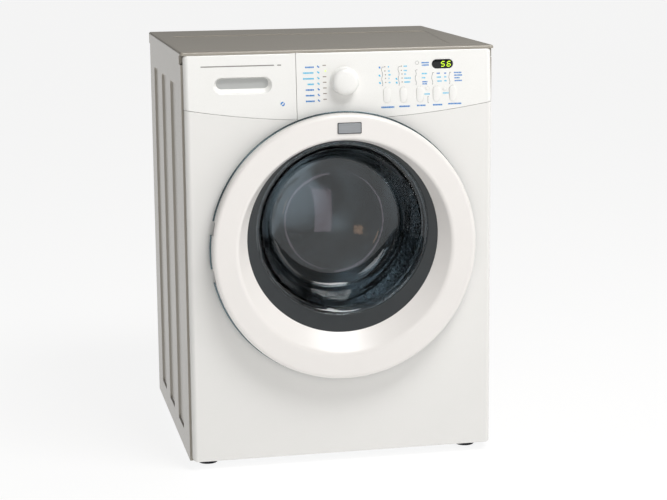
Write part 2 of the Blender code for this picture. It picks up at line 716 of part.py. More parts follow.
def make_door_ring():
    """White outer ring of the door. Its dish leans down to an opening that sits higher than the ring."""
    outer, wall, face = DOOR_RADIUS, RING_WALL, DOOR_FACE
    back = DOOR_BACK - TRIM_DEPTH - GAP
    rings = [
        (DOOR_Z, back, outer),
        (DOOR_Z, face + 0.0095, outer),
        (DOOR_Z, face + 0.0045, outer - 0.0018),
        (DOOR_Z, face + 0.0012, outer - 0.0055),
        (DOOR_Z, face, outer - 0.0120),
        (DOOR_Z, face + 0.0004, DISH_RADIUS + 0.010),
        (DOOR_Z, face + 0.0014, DISH_RADIUS + 0.002),
        (DOOR_Z, face + 0.0032, DISH_RADIUS - 0.001),
        (OPENING_Z, DISH_END, OPENING_RADIUS),
        (OPENING_Z, DISH_END, OPENING_RADIUS + wall),
        (DOOR_Z, face + 0.0045 + wall, DISH_RADIUS + 0.001),
        (DOOR_Z, face + 0.0012 + wall, outer - 0.0055 - wall),
        (DOOR_Z, face + 0.0095, outer - wall),
        (DOOR_Z, back, outer - wall),
    ]
    ring = add_part("door_ring", loft_mesh(rings), "white_plastic")
    for offset in HINGE_OFFSETS:
        cut(ring, hinge_slot(offset, HINGE_X - 0.001))
    return ring


def make_door_trim_ring():
    """Bright plated band behind the ring, open on the hinge side where the lugs pass."""
    radius = DOOR_RADIUS + TRIM_PROUD
    y0, y1 = DOOR_BACK - TRIM_DEPTH, DOOR_BACK
    rings = [
        (DOOR_Z, y1, radius - 0.0077), (DOOR_Z, y1 - 0.0070, radius), (DOOR_Z, y0 + 0.0020, radius),
        (DOOR_Z, y0, radius - 0.0018), (DOOR_Z, y0, TRIM_INNER), (DOOR_Z, y1, TRIM_INNER),
    ]
    trim = add_part("door_trim_ring", loft_mesh(rings), "chrome")
    reach = HINGE_OFFSETS[1] + HINGE_LUG / 2 + HINGE_CLEAR + SOCKET_HEIGHT + GAP
    span = (DOOR_Z - reach, DOOR_Z + reach)
    return cut(trim, box_mesh((-2 * radius, HINGE_X + 0.012), (y0 - 0.01, y1 + 0.01), span))


def make_door_back_panel():
    """Inner cover of the door ring, with sockets for the hinge pin beside each lug."""
    y0, y1 = DOOR_BACK - 0.003, DOOR_BACK
    outer, inner = TRIM_INNER - GAP, OPENING_RADIUS + 0.006
    rings = [(DOOR_Z, y1, outer), (DOOR_Z, y0, outer), (OPENING_Z, y0, inner), (OPENING_Z, y1, inner)]
    panel = add_part("door_back_panel", loft_mesh(rings), "grey_plastic")
    half = HINGE_LUG / 2 + HINGE_CLEAR
    for offset in HINGE_OFFSETS:
        z = DOOR_Z + offset
        cut(panel, box_mesh((HINGE_X - 0.030, HINGE_X + 0.024), (y0 - 0.01, y1 + 0.01), (z - half, z + half)))
        for low, high in ((z - half - SOCKET_HEIGHT, z - half), (z + half, z + half + SOCKET_HEIGHT)):
            wall = PIN_RADIUS + SOCKET_WALL
            x = (HINGE_X - wall, HINGE_X + 0.008)
            join(panel, box_mesh(x, (HINGE_Y - wall, y0 + 0.001), (low, high)))
    reach = HINGE_OFFSETS[1] + half + SOCKET_HEIGHT + 0.01
    span = (DOOR_Z - reach, DOOR_Z + reach)
    return cut(panel, rod_mesh((HINGE_X, HINGE_Y), PIN_RADIUS + GAP, span, axis="Z", sides=16))


def make_door_inner_frame():
    """Dark frame between the dish and the glass, thicker at the bottom."""
    y = DISH_END + GAP
    rings = [
        (OPENING_Z, y, OPENING_RADIUS + 0.0045),
        (OPENING_Z, y + 0.0025, OPENING_RADIUS + 0.0045),
        (OPENING_Z, y + 0.0070, OPENING_RADIUS + 0.0010),
        (GLASS_Z, y + 0.0070, GLASS_RADIUS),
        (GLASS_Z, y + 0.0045, GLASS_RADIUS),
        (OPENING_Z, y, OPENING_RADIUS - 0.0015),
    ]
    return add_part("door_inner_frame", loft_mesh(rings), "dark_plastic")


def make_door_glass():
    """Thick pressed bowl that reaches through the seal into the drum's mouth."""
    y = DISH_END + GAP + 0.0048
    deep = y + GLASS_DEPTH
    wide, rim = GLASS_RADIUS, GLASS_RADIUS - 2 * GAP
    front = [(0, deep - 0.006), (wide - 0.0705, deep - 0.004), (wide - 0.0465, deep - 0.012),
             (wide - 0.0335, deep - 0.032), (wide - 0.0225, y + 0.040), (wide - 0.0140, y + 0.008),
             (rim - 0.006, y), (rim, y)]
    rear = [(rim, y + 0.0040), (rim - 0.004, y + 0.0044), (wide - 0.0095, y + 0.011),
            (wide - 0.0175, y + 0.042), (wide - 0.0285, deep - 0.030), (wide - 0.0425, deep - 0.007),
            (wide - 0.0695, deep + 0.001), (0, deep - 0.001)]
    return turned("door_glass", front + rear, "clear_glass", (0, GLASS_Z), steps=ROUND_SIDES)


def around_latch(half, y):
    """A box about the latch, reaching (across, up) from its middle on each side."""
    across, up = half
    return box_mesh((LATCH_X - across, LATCH_X + across), y, (DOOR_Z - up, DOOR_Z + up))


def make_door_latch_hook():
    """Steel hook on the door's inner cover that enters the lock."""
    y = DOOR_BACK + GAP
    hook = add_part("door_latch_hook", around_latch((0.009, 0.013), (y, y + 0.002)), "zinc_steel")
    join(hook, around_latch((0.003, 0.008), (y + 0.001, y + LATCH_REACH)))
    return cut(hook, around_latch((0.010, 0.004), (y + LATCH_REACH - 0.016, y + LATCH_REACH - 0.007)))


def make_hinge_bracket():
    """Plate on the front panel with two lugs that reach into the door ring."""
    plate_y = (FRONT_FACE - GAP - 0.0015, FRONT_FACE - GAP)
    reach = HINGE_OFFSETS[1] + HINGE_LUG / 2 + 0.012
    plate = box_mesh((HINGE_X + 0.009, HINGE_X + 0.036), plate_y, (DOOR_Z - reach, DOOR_Z + reach))
    bracket = add_part("hinge_bracket", plate, "zinc_steel")
    depth = plate_y[0] + 0.0008 - HINGE_Y
    base_x, base_y = HINGE_X + depth * math.tan(HINGE_LEAN), HINGE_Y + depth
    across = HINGE_LUG_HALF / math.cos(HINGE_LEAN)
    left, right = (base_x - across, base_y), (base_x + across, base_y)
    lean = math.degrees(HINGE_LEAN)
    outline = [left, right] + arc_points(HINGE_X, HINGE_Y, HINGE_EYE, -lean + 30, -lean - 210, 12)
    for offset in HINGE_OFFSETS:
        z = (DOOR_Z + offset - HINGE_LUG / 2, DOOR_Z + offset + HINGE_LUG / 2)
        join(bracket, outline_mesh(outline, z, plane="XY"))
    span = (DOOR_Z - reach, DOOR_Z + reach)
    return cut(bracket, rod_mesh((HINGE_X, HINGE_Y), PIN_RADIUS + GAP, span, axis="Z", sides=16))


def make_door_hinge_pin():
    """Steel pin through both lugs, held by the sockets in the door."""
    reach = HINGE_OFFSETS[1] + HINGE_LUG / 2 + HINGE_CLEAR + SOCKET_HEIGHT
    pin = rod_mesh((HINGE_X, HINGE_Y), PIN_RADIUS, (DOOR_Z - reach, DOOR_Z + reach), axis="Z", sides=16)
    return add_part("door_hinge_pin", pin, "zinc_steel")


def make_door_lock():
    """Lock behind the front panel, with a pocket that takes the hook."""
    y = FRONT_FACE + SHEET + GAP
    depth = LATCH_REACH + LATCH_CLEAR
    lock = add_part("door_lock", around_latch((0.020, 0.030), (y, y + depth + 0.006)), "dark_plastic")
    cut(lock, around_latch(LATCH_SLOT, (y - 0.01, y + depth)))


# Tub, drum and drive

def make_door_gasket():
    """Rubber bellows between the front panel's opening and the tub's mouth."""
    y = FRONT_FACE + SHEET + GAP
    end = TUB_FRONT - NECK - GAP
    middle = (OPENING_Z + DRUM_Z) / 2
    flange, lip, fold = OPENING_RADIUS + 0.0115, OPENING_RADIUS - 0.0055, TUB_MOUTH + FOLD_REACH
    wall = GASKET_WALL
    rings = [
        (OPENING_Z, y, flange), (OPENING_Z, y, lip), (OPENING_Z, y + 0.016, lip - 0.0015),
        (middle, y + 0.024, fold), (middle, y + 0.033, fold), (DRUM_Z, end - 0.005, TUB_MOUTH - 0.001),
        (DRUM_Z, end, TUB_MOUTH - 0.001), (DRUM_Z, end, TUB_MOUTH + wall),
        (DRUM_Z, end - 0.002, TUB_MOUTH + wall), (middle, y + 0.036, fold + wall),
        (middle, y + 0.021, fold + wall), (OPENING_Z, y + 0.014, lip + wall),
        (OPENING_Z, y + wall, lip + wall), (OPENING_Z, y + wall, flange),
    ]
    add_part("door_gasket", loft_mesh(rings, 32), "rubber_grey")


def make_tub():
    """Two tub halves flanged together, the rear one with the bearing hub and the suspension lugs."""
    outer, inner = TUB_RADIUS, TUB_RADIUS - TUB_WALL
    flange = outer + TUB_FLANGE
    neck = TUB_MOUTH + 0.004
    split = TUB_SPLIT - GAP
    profile = [(TUB_MOUTH, TUB_FRONT - NECK), (neck, TUB_FRONT - NECK), (neck, TUB_FRONT),
               (outer - 0.004, TUB_FRONT), (outer, TUB_FRONT + 0.004), (outer, split - 0.006),
               (flange, split - 0.006), (flange, split), (inner, split), (inner, TUB_FRONT + TUB_WALL),
               (TUB_MOUTH, TUB_FRONT + TUB_WALL)]
    turned("tub_front", profile, "tub_polymer", (0, DRUM_Z))

    seat = BEARING_OUTER + GAP
    step = BEARING_OUTER - 0.006
    front_seat, rear_seat = HUB_INNER + BEARING_WIDTH + GAP, HUB_END - BEARING_WIDTH - GAP
    profile = [(inner, TUB_SPLIT), (flange, TUB_SPLIT), (flange, TUB_SPLIT + 0.006),
               (outer, TUB_SPLIT + 0.006), (outer, TUB_REAR - 0.004), (outer - 0.004, TUB_REAR),
               (HUB_RADIUS, TUB_REAR), (HUB_RADIUS, HUB_END), (seat, HUB_END), (seat, rear_seat),
               (step, rear_seat), (step, front_seat), (seat, front_seat), (seat, HUB_INNER),
               (HUB_RADIUS, HUB_INNER), (HUB_RADIUS, TUB_REAR - TUB_WALL), (inner, TUB_REAR - TUB_WALL)]
    tub = turned("tub_rear", profile, "tub_polymer", (0, DRUM_Z))
    y = (SUSPENSION_Y - LUG_HALF, SUSPENSION_Y + LUG_HALF)
    spring_root = DRUM_Z + math.sqrt(outer**2 - (SPRING_X - LUG_HALF) ** 2) - 0.020
    damper_root = DRUM_Z - math.sqrt(outer**2 - (DAMPER_X + LUG_HALF) ** 2) + 0.001
    for sign in (-1, 1):
        x = sorted((sign * (SPRING_X - LUG_HALF), sign * (SPRING_X + LUG_HALF)))
        join(tub, box_mesh(x, y, (spring_root, SPRING_LOW - GAP)))
        x = sorted((sign * (DAMPER_X - LUG_HALF), sign * (DAMPER_X + LUG_HALF)))
        join(tub, box_mesh(x, y, (DAMPER_TOP + GAP, damper_root)))
    sump = DRUM_Z - outer
    join(tub, rod_mesh((0, SUMP_Y), HOSE_RADIUS, (sump - 0.016, sump + 0.003), axis="Z"))


def make_counterweight():
    """Cast weight over the top half of the tub's front."""
    outer, inner = TUB_RADIUS - 0.003, TUB_MOUTH + WEIGHT_CLEAR
    outline = arc_points(0, DRUM_Z, outer, 30, 150, 20) + arc_points(0, DRUM_Z, inner, 150, 30, 20)
    add_part("front_counterweight", outline_mesh(outline, (SKIN_BACK + 0.005, TUB_FRONT - GAP)), "concrete")


def drum_turn(i):
    """Turns a shape, drawn below the drum's axis, to the place of lifter i."""
    return Matrix.Translation((0, 0, DRUM_Z)) @ Matrix.Rotation(i * math.tau / LIFTER_COUNT, 4, "Y")


def make_drum():
    """Sheet steel drum, its lifters, and the spider with the shaft behind it."""
    radius, sheet, mouth = DRUM_RADIUS, DRUM_SHEET, DRUM_MOUTH
    front, rear = DRUM_FRONT, DRUM_REAR
    profile = [(0, rear), (radius, rear), (radius, front + 0.014), (radius - 0.014, front), (mouth, front),
               (mouth, front + sheet), (radius - 0.0145, front + sheet), (radius - sheet, front + 0.0145),
               (radius - sheet, rear - sheet), (0, rear - sheet)]
    turned("drum", profile, "stainless", (0, DRUM_Z), steps=40)

    root = math.sqrt((radius - sheet - LIFTER_GAP) ** 2 - LIFTER_HALF**2)
    tip = root - LIFTER_HEIGHT
    outline = [(-LIFTER_HALF, -root), (LIFTER_HALF, -root), (0.020, -root + 0.020), (0.011, -tip - 0.004),
               (0.006, -tip), (-0.006, -tip), (-0.011, -tip - 0.004), (-0.020, -root + 0.020)]
    for i in range(LIFTER_COUNT):
        mesh = outline_mesh(outline, (front + 0.030, rear - 0.030))
        mesh.transform(drum_turn(i))
        add_part(f"drum_lifter_{i + 1}", mesh, "grey_plastic")

    end = PULLEY_Y + PULLEY_WIDTH / 2 + 0.006
    hub = [(0, rear + GAP), (0.045, rear + GAP), (0.045, rear + 0.020), (0.026, HUB_INNER - 0.002),
           (SHAFT_RADIUS, HUB_INNER - 0.002), (SHAFT_RADIUS, end), (0, end)]
    spider = turned("drum_spider", hub, "cast_aluminium", (0, DRUM_Z), steps=24)
    arm = [(-0.020, -0.02), (0.020, -0.02), (0.013, -radius + 0.006), (-0.013, -radius + 0.006)]
    for i in range(LIFTER_COUNT):
        mesh = outline_mesh(arm, (rear + GAP, rear + 0.016))
        mesh.transform(drum_turn(i))
        join(spider, mesh)


def make_bearings():
    """Front and rear drum bearings in the tub's hub."""
    for name, y in (("front_bearing", HUB_INNER), ("rear_bearing", HUB_END - BEARING_WIDTH)):
        inner, outer = SHAFT_RADIUS + GAP, BEARING_OUTER
        profile = [(inner, y), (inner, y + BEARING_WIDTH), (outer, y + BEARING_WIDTH), (outer, y)]
        turned(name, profile, "zinc_steel", (0, DRUM_Z), steps=24)


def make_drum_pulley():
    """Large aluminium pulley on the end of the shaft."""
    low, high = PULLEY_Y - PULLEY_WIDTH / 2, PULLEY_Y + PULLEY_WIDTH / 2
    rim = PULLEY_RADIUS
    bore = SHAFT_RADIUS + GAP
    web = (PULLEY_Y - 0.002, PULLEY_Y + 0.002)
    profile = [(bore, low), (0.030, low), (0.030, web[0]), (rim - 0.006, web[0]), (rim - 0.006, low),
               (rim, low), (rim, high), (rim - 0.006, high), (rim - 0.006, web[1]), (0.030, web[1]),
               (0.030, high), (bore, high)]
    pulley = turned("drum_pulley", profile, "cast_aluminium", (0, DRUM_Z), steps=32)
    for i in range(5):
        angle = i * math.tau / 5
        middle = (rim + 0.024) / 2
        centre = (middle * math.cos(angle), DRUM_Z + middle * math.sin(angle))
        cut(pulley, rod_mesh(centre, 0.036, (low - 0.01, high + 0.01), sides=14))


def belt_points(offset):
    """The belt's path round both pulleys, at a distance outside their rims."""
    centre = Vector((MOTOR_X, MOTOR_Z - DRUM_Z))
    large, small = PULLEY_RADIUS + offset, MOTOR_PULLEY_RADIUS + offset
    heading = math.degrees(math.atan2(centre.y, centre.x))
    wrap = math.degrees(math.acos((large - small) / centre.length))
    big = arc_points(0, DRUM_Z, large, heading + wrap, heading + 360 - wrap, 30)
    return big + arc_points(MOTOR_X, MOTOR_Z, small, heading - wrap, heading + wrap, 8)


def make_drive():
    """Motor under the tub, its pulley and shaft, and the belt."""
    belt_y = (PULLEY_Y - BELT_WIDTH / 2, PULLEY_Y + BELT_WIDTH / 2)
    belt = add_part("drive_belt", outline_mesh(belt_points(BELT_CLEAR + BELT_THICK), belt_y), "rubber_black")
    cut(belt, outline_mesh(belt_points(BELT_CLEAR), (belt_y[0] - 0.01, belt_y[1] + 0.01)))

    span = (MOTOR_END - MOTOR_LENGTH, MOTOR_END)
    centre = (MOTOR_X, MOTOR_Z)
    motor = add_part("motor", rod_mesh(centre, MOTOR_RADIUS, span, sides=32), "cast_aluminium")
    away = Vector((-MOTOR_X, DRUM_Z - MOTOR_Z))
    reach = away.length - TUB_RADIUS - GAP
    along, across = away.normalized(), away.normalized().orthogonal() * 0.020
    tip = Vector(centre) + along * reach
    arm = [Vector(centre) - across, Vector(centre) + across, tip + across, tip - across]
    join(motor, outline_mesh(arm, (span[0] + 0.030, span[1] - 0.030)))
    cut(motor, rod_mesh(centre, MOTOR_SHAFT + GAP, (span[1] - 0.030, span[1] + 0.01), sides=16))

    low, high = belt_y[0] - 0.002, belt_y[1] + 0.002
    start = span[1] - 0.028
    profile = [(0, start), (MOTOR_SHAFT, start), (MOTOR_SHAFT, low), (MOTOR_PULLEY_RADIUS, low),
               (MOTOR_PULLEY_RADIUS, high), (0, high)]
    turned("motor_pulley", profile, "zinc_steel", centre, steps=24)


def make_suspension():
    """Coil springs that hang the tub from the brace, and friction dampers under it."""
    high = BRACE_Z - GAP
    for side, sign in (("left", -1), ("right", 1)):
        curve = bpy.data.curves.new("spring", "CURVE")
        curve.dimensions = "3D"
        curve.bevel_depth = SPRING_WIRE
        curve.bevel_resolution = 1
        curve.use_fill_caps = True
        count = SPRING_TURNS * SPRING_STEPS
        spline = curve.splines.new("POLY")
        spline.points.add(count)
        rise = high - SPRING_LOW - 2 * SPRING_WIRE
        for i, point in enumerate(spline.points):
            angle = i * math.tau / SPRING_STEPS
            x, y = SPRING_RADIUS * math.cos(angle), SPRING_RADIUS * math.sin(angle)
            point.co = (x, y, SPRING_LOW + SPRING_WIRE + rise * i / count, 1)
        add_part(f"spring_{side}", curve, "zinc_steel", (sign * SPRING_X, SUSPENSION_Y, 0))

        centre = (sign * DAMPER_X, SUSPENSION_Y)
        rod = rod_mesh(centre, DAMPER_ROD, (0.150, DAMPER_TOP), axis="Z", sides=16)
        add_part(f"damper_rod_{side}", rod, "zinc_steel")
        foot = BASE_Z + BASE_WALL + GAP
        cylinder = rod_mesh(centre, DAMPER_RADIUS, (foot, 0.190), axis="Z", sides=20)
        tube = add_part(f"damper_cylinder_{side}", cylinder, "dark_plastic")
        cut(tube, rod_mesh(centre, DAMPER_BORE, (foot + 0.040, 0.200), axis="Z", sides=16))


def make_drain():
    """Drain pump on the base and the hose from the tub's sump down to it."""
    body = rod_mesh((PUMP_X, PUMP_Z), PUMP_RADIUS, (PUMP_Y - 0.040, PUMP_Y + 0.045), sides=24)
    pump = add_part("drain_pump", body, "dark_plastic")
    join(pump, rod_mesh((PUMP_Y, PUMP_Z + 0.012), HOSE_RADIUS, (PUMP_INLET_X, PUMP_X), axis="X"))
    join(pump, box_mesh((PUMP_X - 0.030, PUMP_X + 0.030), (PUMP_Y - 0.030, PUMP_Y + 0.035),
                        (BASE_Z + BASE_WALL + GAP, PUMP_Z)))
    top = DRUM_Z - TUB_RADIUS - 0.016 - GAP
    inlet = Vector((PUMP_INLET_X - GAP, PUMP_Y, PUMP_Z + 0.012))
    start = Vector((0, SUMP_Y, top))
    bend_start, bend_end = start + Vector((0, 0, -0.008)), inlet + Vector((-0.012, 0, 0))
    handles = (bend_start, bend_start + Vector((0, 0, -0.095)), bend_end + Vector((-0.105, 0, 0)), bend_end)
    curve = bpy.data.curves.new("hose", "CURVE")
    curve.dimensions = "3D"
    curve.bevel_depth = HOSE_RADIUS
    curve.bevel_resolution = 2
    curve.use_fill_caps = True
    path = [start]
    for i in range(13):
        t = i / 12
        weights = ((1 - t) ** 3, 3 * t * (1 - t) ** 2, 3 * t * t * (1 - t), t**3)
        path.append(sum((h * w for h, w in zip(handles, weights)), Vector((0, 0, 0))))
    path.append(inlet)
    spline = curve.splines.new("POLY")
    spline.points.add(len(path) - 1)
    for point, place in zip(spline.points, path):
        point.co = (*place, 1)
    add_part("sump_hose", curve, "rubber_grey")


make_base_frame()
make_feet()
make_side_panel("left_side_panel", -1)
make_side_panel("right_side_panel", 1)
make_rear_panel()
make_rear_access_cover()
make_front_panel()
make_worktop()
make_top_brace()
make_inlet_valve()
make_cord_gland()
make_drawer()
make_dispenser_housing()
make_console_panel()
make_buttons()
make_knob()
make_control_board()
make_display()
door_pieces = [make_door_ring(), make_door_trim_ring(), make_door_back_panel(), make_door_inner_frame(),
               make_door_glass(), make_door_latch_hook(), make_door_hinge_pin()]
hang_on("door_hinge_axis", (HINGE_X, HINGE_Y, DOOR_Z), door_pieces)
make_hinge_bracket()
make_door_lock()
make_door_gasket()
make_tub()
make_counterweight()
make_drum()
make_bearings()
make_drum_pulley()
make_drive()
make_suspension()
make_drain()
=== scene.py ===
"""A front load washing machine: enamelled cabinet, moulded console, big round door and steel drum."""

import json
import math
import random

import bmesh
import bpy
from mathutils import Matrix, Vector


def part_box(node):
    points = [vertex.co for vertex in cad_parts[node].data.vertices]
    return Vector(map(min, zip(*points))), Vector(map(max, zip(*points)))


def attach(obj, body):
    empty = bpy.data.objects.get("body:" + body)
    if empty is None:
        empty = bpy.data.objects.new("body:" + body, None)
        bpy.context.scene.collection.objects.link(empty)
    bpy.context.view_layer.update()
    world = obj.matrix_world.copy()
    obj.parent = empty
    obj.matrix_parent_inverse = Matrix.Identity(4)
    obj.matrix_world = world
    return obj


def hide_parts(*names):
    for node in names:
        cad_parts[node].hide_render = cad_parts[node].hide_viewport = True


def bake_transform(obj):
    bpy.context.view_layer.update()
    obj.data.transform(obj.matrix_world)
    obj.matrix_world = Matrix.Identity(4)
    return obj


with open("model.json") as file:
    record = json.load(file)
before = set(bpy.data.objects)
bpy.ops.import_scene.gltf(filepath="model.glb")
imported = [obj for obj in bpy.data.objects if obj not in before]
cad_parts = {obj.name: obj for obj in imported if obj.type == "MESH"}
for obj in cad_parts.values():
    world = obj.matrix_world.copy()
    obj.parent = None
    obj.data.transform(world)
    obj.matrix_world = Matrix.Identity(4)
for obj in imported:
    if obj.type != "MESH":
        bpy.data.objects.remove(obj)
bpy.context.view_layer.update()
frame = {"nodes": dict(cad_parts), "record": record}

MM = 0.001
BODY_OF = {node: body for body, nodes in frame["record"]["behaviour"]["bodies"].items() for node in nodes}


def mm(*values):
    """Millimetres as metres."""
    return [value * MM for value in values]


def stations(start, rows, *shift):
    """Profile points from rows of radius and depth in mm; the depth counts from a start."""
    return [(radius * MM, start + depth * MM, *shift) for radius, depth in rows]


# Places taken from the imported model

def span(node, axis):
    """Lowest and highest position of a part along one axis (0 across, 1 deep, 2 up)."""
    low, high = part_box(node)
    return low[axis], high[axis]


FACE, SKIN_BACK = span("front_panel", 1)
CONSOLE_TOP = span("console_panel", 2)[1]
LEAN, LEAN_FROM = mm(11.5, 772)
BAND_LIP = 2.2 * MM
DOOR_RADIUS = (span("door_trim_ring", 2)[1] - span("door_trim_ring", 2)[0]) / 2 - BAND_LIP
DOOR_FACE, RING_BACK = span("door_ring", 1)
DOOR_UP = sum(span("door_trim_ring", 2)) / 2
OPENING, OPENING_RISE = mm(210.5, 19)
OPENING_UP = DOOR_UP + OPENING_RISE
GLASS_UP = sum(span("door_glass", 2)) / 2
GLASS_RIM = (span("door_glass", 2)[1] - span("door_glass", 2)[0]) / 2
DRUM_UP = sum(span("drum", 2)) / 2
DRUM_RADIUS = (span("drum", 0)[1] - span("drum", 0)[0]) / 2
DRUM_FRONT, DRUM_REAR = span("drum", 1)
HINGE_LUGS = mm(-52, 52)
SEAM_LOW, SEAM_CURVE = 763 * MM, 0.2637


def front_box(node):
    """Middle across, middle up, width and height of a part seen from the front."""
    (x0, x1), (z0, z1) = span(node, 0), span(node, 2)
    return (x0 + x1) / 2, (z0 + z1) / 2, x1 - x0, z1 - z0


def seam_up(x):
    """Height of the sagging seam under the console."""
    return SEAM_LOW + SEAM_CURVE * x * x


def face_at(z):
    """Depth of the console's face, which leans back towards its top."""
    return FACE + max(0.0, LEAN * (z - LEAN_FROM) / (CONSOLE_TOP - LEAN_FROM))


# Node and material helpers

def linear(hex_colour):
    """An sRGB hex colour as linear values, with alpha."""
    channels = [int(hex_colour[i:i + 2], 16) / 255 for i in (1, 3, 5)]
    return [c / 12.92 if c <= 0.04045 else ((c + 0.055) / 1.055) ** 2.4 for c in channels] + [1.0]


def add_node(tree, kind, settings=(), links=()):
    """One node in a tree: settings by input or property name, links as (input, output socket)."""
    node = tree.nodes.new(kind)
    for key, value in dict(settings).items():
        if isinstance(key, int) or key in node.inputs:
            node.inputs[key].default_value = value
        else:
            setattr(node, key, value)
    for key, socket in dict(links).items():
        tree.links.new(socket, node.inputs[key])
    return node


def finish(name, colours, mottle, roughness, grain, depth, stretch=(1, 1, 1),
           pattern="noise", **sockets):
    """A surface: two near colours mottled at a size, a roughness range, and grain of a size and depth (mm)."""
    material = bpy.data.materials.new(name)
    material.use_nodes = True
    tree = material.node_tree
    tree.nodes.clear()
    place = add_node(tree, "ShaderNodeTexCoord").outputs["Object"]
    drawn = add_node(tree, "ShaderNodeMapping", {"Scale": stretch}, {"Vector": place}).outputs["Vector"]
    cloud = add_node(tree, "ShaderNodeTexNoise", {"Scale": 1000 / mottle, "Detail": 3.0}, {"Vector": drawn})
    tint = add_node(tree, "ShaderNodeMix", {"data_type": "RGBA", 6: linear(colours[0]),
                                            7: linear(colours[1])}, {0: cloud.outputs["Fac"]})
    if pattern == "noise":
        fine = add_node(tree, "ShaderNodeTexNoise", {"Scale": 1000 / grain, "Detail": 4.0}, {"Vector": drawn})
        relief = fine.outputs["Fac"]
    else:
        fine = add_node(tree, "ShaderNodeTexVoronoi", {"Scale": 1000 / grain}, {"Vector": drawn})
        relief = fine.outputs["Distance"]
    sheen = add_node(tree, "ShaderNodeMapRange", {"To Min": roughness[0], "To Max": roughness[1]},
                     {"Value": relief})
    bump = add_node(tree, "ShaderNodeBump", {"Strength": 1.0, "Distance": depth * MM},
                    {"Height": relief})
    shader = add_node(tree, "ShaderNodeBsdfPrincipled", sockets, {
        "Base Color": tint.outputs[2], "Roughness": sheen.outputs["Result"], "Normal": bump.outputs["Normal"]})
    add_node(tree, "ShaderNodeOutputMaterial", (), {"Surface": shader.outputs["BSDF"]})
    return material


# Baked enamel on steel: smooth, glossy, with a faint orange peel of 2 to 3 mm.
white_enamel = finish("white_enamel", ("#E9E8E4", "#ECEAE7"), 60, (0.22, 0.30), 2.6, 0.010,
                      **{"Coat Weight": 0.25, "Coat Roughness": 0.08})
# The cabinet's sides and worktop are the same white enamel, painted a warm grey here as painted shade for the
# dimmer light they get, and a little less glossy.
grey_enamel = finish("grey_enamel", ("#9C968B", "#A19B90"), 80, (0.24, 0.34), 2.4, 0.012,
                     **{"Coat Weight": 0.15, "Coat Roughness": 0.15})
# Injection moulded ABS: even white with a soft gloss.
white_abs = finish("white_abs", ("#EFEEEA", "#F2F1EE"), 45, (0.24, 0.32), 0.8, 0.002, IOR=1.54)
# The door ring is the same plastic from another mould, a shade warmer.
ring_abs = finish("ring_abs", ("#EDE9E5", "#F0ECE8"), 45, (0.26, 0.34), 0.8, 0.002, IOR=1.54)
# Plated chrome on moulded plastic: a clear mirror, its colour darkened to a cool teal grey as painted dark
# reflection and shade.
chrome = finish("plated_chrome", ("#5A686E", "#647378"), 30, (0.05, 0.10), 4, 0.001, Metallic=1.0)
# Textured dark ABS: spark eroded grain drawn at 1.2 mm so that it shows.
dark_abs = finish("dark_abs", ("#23272A", "#2B3032"), 30, (0.34, 0.46), 1.2, 0.015, pattern="cells", IOR=1.54)
# Pressed borosilicate bowl: clear, faintly blue, with slow waves of 25 mm from the press.
bowl_glass = finish("bowl_glass", ("#C3CED4", "#CBD5DA"), 90, (0.005, 0.02), 25, 0.05,
                    **{"IOR": 1.48, "Transmission Weight": 1.0})
# Rolled stainless steel: fine lines round the drum, drawn at 2 mm so that they show.
drum_steel = finish("rolled_stainless", ("#8B9094", "#999EA1"), 60, (0.20, 0.28), 2.0, 0.0003,
                    stretch=(0.15, 1, 0.15), Metallic=1.0)
# Galvanised sheet: spangled grey crystals of 6 to 10 mm.
zinc_sheet = finish("galvanised_sheet", ("#9A9C9D", "#B9BBBC"), 8, (0.34, 0.50), 7, 0.004,
                    pattern="cells", Metallic=1.0)
# Cast aluminium: matt, with a sand grain of 1.5 mm.
cast_alloy = finish("cast_aluminium", ("#9C9DA0", "#B0B1B3"), 10, (0.42, 0.58), 1.5, 0.03, Metallic=1.0)
# Grey moulded polypropylene for the tray and housing.
grey_poly = finish("grey_polypropylene", ("#B9BCBE", "#C3C6C7"), 30, (0.38, 0.50), 1.0, 0.006, IOR=1.49)
# Mineral filled polypropylene: darker and chalkier, for the tub.
tub_poly = finish("tub_polypropylene", ("#9EA3A5", "#AAAFB0"), 25, (0.45, 0.60), 1.8, 0.02, IOR=1.49)
# Moulded EPDM rubber: matt, with a fine mould texture.
grey_rubber = finish("grey_rubber", ("#6F7375", "#7B7F80"), 20, (0.55, 0.68), 1.2, 0.012, IOR=1.52)
# Belt and foot rubber: black and dull.
black_rubber = finish("black_rubber", ("#17181A", "#222326"), 15, (0.60, 0.75), 1.4, 0.03, IOR=1.52)
# Cast concrete counterweight: rough and blotched at 12 mm.
grey_concrete = finish("cast_concrete", ("#7E7C77", "#98958F"), 12, (0.80, 0.95), 3.0, 0.30)
# Glass fibre laminate under green solder resist.
board_laminate = finish("board_laminate", ("#1D4A33", "#265A3F"), 8, (0.35, 0.50), 2.0, 0.02)
# Tinted acrylic lens: nearly black and polished.
dark_lens = finish("dark_acrylic", ("#0B0D0F", "#101315"), 20, (0.06, 0.10), 3, 0.001, IOR=1.49)
# Blank aluminium badge, brushed across.
badge_metal = finish("brushed_badge", ("#9B9EA1", "#B4B7BA"), 6, (0.25, 0.38), 0.6, 0.004,
                     stretch=(0.1, 1, 1), Metallic=1.0)
# Pad printed inks and small lamps: thin, matt and even.
blue_ink, cyan_ink, grey_ink = [finish(name, colours, 6, (0.45, 0.55), 0.8, 0.001) for name, colours in (
    ("blue_ink", ("#0077C4", "#0A82CE")), ("cyan_ink", ("#3DB9E0", "#4AC2E6")),
    ("grey_ink", ("#4A4947", "#565553")))]
led_off = finish("unlit_led", ("#8A7C70", "#978A7E"), 4, (0.35, 0.45), 0.8, 0.001)
led_lit = finish("lit_led", ("#B9E021", "#C6EA34"), 4, (0.30, 0.40), 0.8, 0.001,
                 **{"Emission Color": linear("#C4F01E"), "Emission Strength": 0.9})
